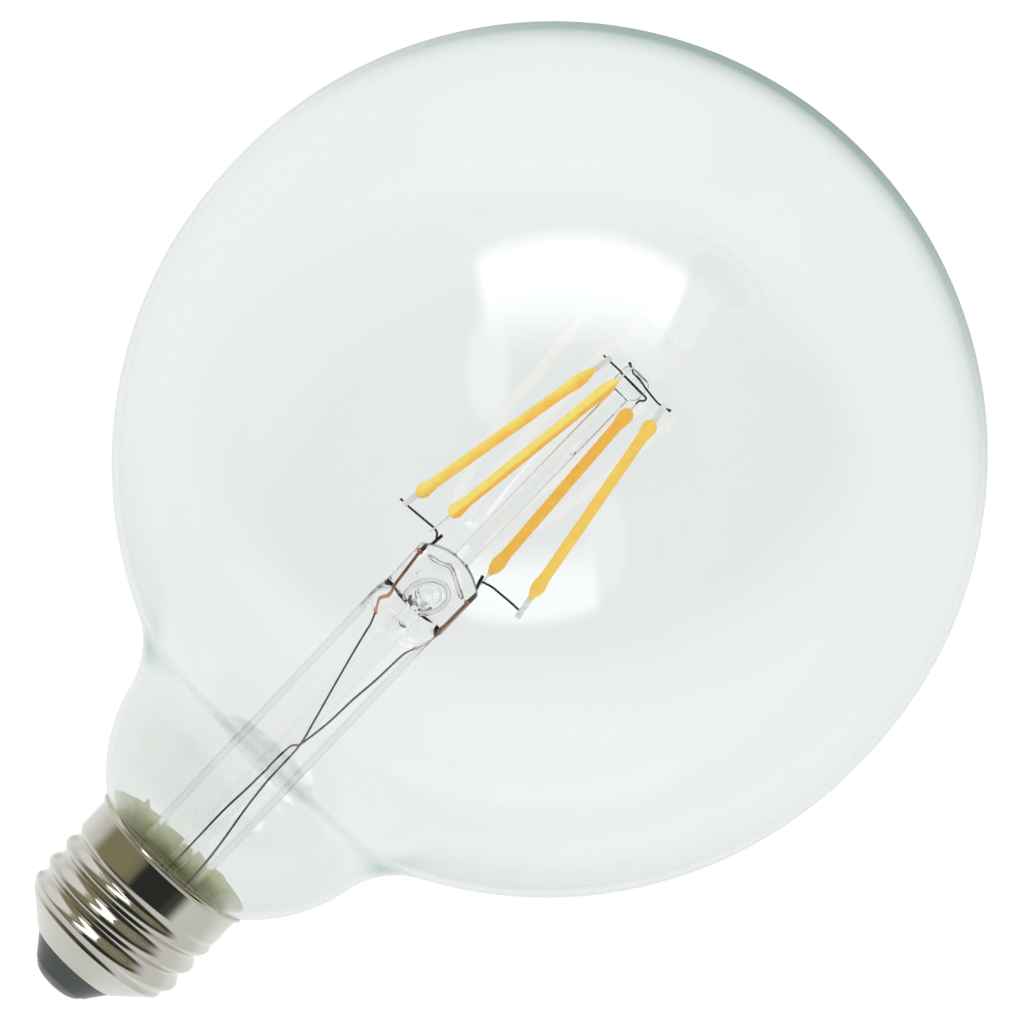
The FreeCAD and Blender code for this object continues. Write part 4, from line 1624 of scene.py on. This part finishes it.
@dataclass(frozen=True)
class LightStrip:
    """Moulded coat of one light strip, poured round the chips.

    Its foot is measured from the seal's top. The foot, the length, the radii and the swell are in mm, and the
    width of the painted shade is in radii of the body. The share of the paler colour, painted light on one
    side of the coat that fades into painted shade on the other, is kept as an attribute for the material.
    """

    name: str
    slot: str
    foot: Point
    run: Point
    lower: CoatEnd
    upper: CoatEnd
    pour: float
    painted_shade_spread: float
    length: float = 31.8
    body: float = 0.82
    least: float = 0.05
    rows: int = 150
    sides: int = 40
    chips: int = 26
    swell: float = 0.012
    painted_shade_width: float = 2.4

    def build(self, materials: dict[str, Finish]) -> Piece:
        """Makes and dresses the coat.

        Args:
            materials: The materials by slot.

        Returns:
            The piece.
        """
        foot = Vector((0, 0, SEAL_TOP)) + Vector(self.foot) * MM
        ahead = Vector(self.run).normalized()
        path, radii = [], []
        for row in range(self.rows + 1):
            place = self.length * (1 - math.cos(math.pi * row / self.rows)) / 2
            if place < self.length / 2:
                radius = self.lower.radius(place, self.body)
            else:
                radius = self.upper.radius(self.length - place, self.body)
            swell = self.swell * math.cos(math.tau * self.chips * place / self.length)
            path.append(foot + ahead * place * MM)
            radii.append(max(self.least, radius + swell) * MM)
        piece = stacked(self.name + "_poured_coat", tube_rings(path, radii, self.sides))
        # Painted light and shade: the share of the paler, lit colour falls off across the strip along X.
        pour = piece.data.attributes.new("first_pour", "FLOAT", "POINT")
        width = self.painted_shade_width * self.body * MM
        for vertex in piece.data.vertices:
            away = vertex.co - foot
            away -= ahead * away.dot(ahead)
            pour.data[vertex.index].value = self.pour - self.painted_shade_spread * away.x / width
        return dress(piece, materials, self.slot, self.name + "_coat")


STRIPS = [
    LightStrip(
        "filament_1", "yellow_coat", (-10.4, -1.0, 2.52), (6.22, 1.3, 31.2),
        CoatEnd.ROUND, CoatEnd.TAPER, 0.48, 0.12,
    ),
    LightStrip(
        "filament_2", "yellow_coat", (-4.91, -2.0, 3.75), (4.18, -1.2, 31.4),
        CoatEnd.ROUND, CoatEnd.TAPER, 0.55, 0.6,
    ),
    LightStrip(
        "filament_3", "orange_coat", (5.08, 1.99, 0.75), (-1.46, 1.0, 31.35),
        CoatEnd.CONE, CoatEnd.ROUND, 0.42, 0.1,
    ),
    LightStrip(
        "filament_4", "orange_coat", (11.84, 0.99, 2.47), (-4.82, -1.6, 31.85),
        CoatEnd.CONE, CoatEnd.ROUND, 0.55, 0.12,
    ),
]


FINISHES: tuple[ClearGlass | Grained | Cement | PhosphorCoat, ...] = (
    Metal("nickel_plate", (0.74, 0.73, 0.67), (0.68, 0.66, 0.6), 0.05, 160.0, 0.02 * MM),
    Matte("base_glass", (0.062, 0.07, 0.07), (0.05, 0.057, 0.057), 0.22),
    Metal("contact_metal", (0.3, 0.3, 0.29), (0.2, 0.2, 0.19), 0.4),
    ClearGlass("clear_glass", (0.948, 0.965, 0.963), low=(0.905, 0.925, 0.91)),
    ClearGlass("stem_glass", edge=(0.68, 0.69, 0.66), edge_along=(0.62, 0.95)),
    Cement("cement"),
    Metal("copper_wire", (0.66, 0.36, 0.25), (0.42, 0.2, 0.14), 0.35),
    Metal("lead_wire", (0.14, 0.14, 0.14), (0.06, 0.06, 0.06), 0.35),
    Metal("strand_wire", (0.05, 0.045, 0.055), (0.02, 0.02, 0.025), 0.4),
    Matte("tab_metal", (0.9, 0.9, 0.88), (0.72, 0.72, 0.69), 0.35),
    PhosphorCoat("yellow_coat", (1.0, 0.84, 0.2), (0.95, 0.48, 0.045)),
    PhosphorCoat("orange_coat", (1.0, 0.68, 0.125), (0.93, 0.52, 0.07)),
    Matte("strip_ceramic", (0.85, 0.84, 0.8), (0.75, 0.74, 0.7), 0.7),
    Matte("light_chip", (0.35, 0.4, 0.5), (0.2, 0.25, 0.35), 0.2),
    Matte("circuit_board", (0.05, 0.25, 0.12), (0.03, 0.17, 0.08), 0.5),
    Matte("black_moulding", (0.03, 0.03, 0.03), (0.015, 0.015, 0.015), 0.55),
    Metal("capacitor_can", (0.6, 0.6, 0.62), (0.45, 0.45, 0.47), 0.35),
    Matte("resistor_coat", (0.35, 0.5, 0.55), (0.25, 0.38, 0.42), 0.5),
)


def main() -> None:
    """Builds the scene and reports each piece."""
    logging.basicConfig(level=logging.INFO, format="%(message)s")
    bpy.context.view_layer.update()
    camera = Camera()
    camera.build()
    Studio().build(camera.axes())
    SoftBox().build(camera.axes())
    materials = {finish.name: finish.material() for finish in FINISHES}
    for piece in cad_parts.values():
        slot = piece.data.materials[0].name
        piece.data.materials.clear()
        piece.data.materials.append(materials[slot])
    for maker in (GlobeGlass(), ScrewShell(), Bead(), Stem(), *OUTER_LEADS, *STRIPS):
        maker.build(materials)


if __name__ == "__main__":
    main()
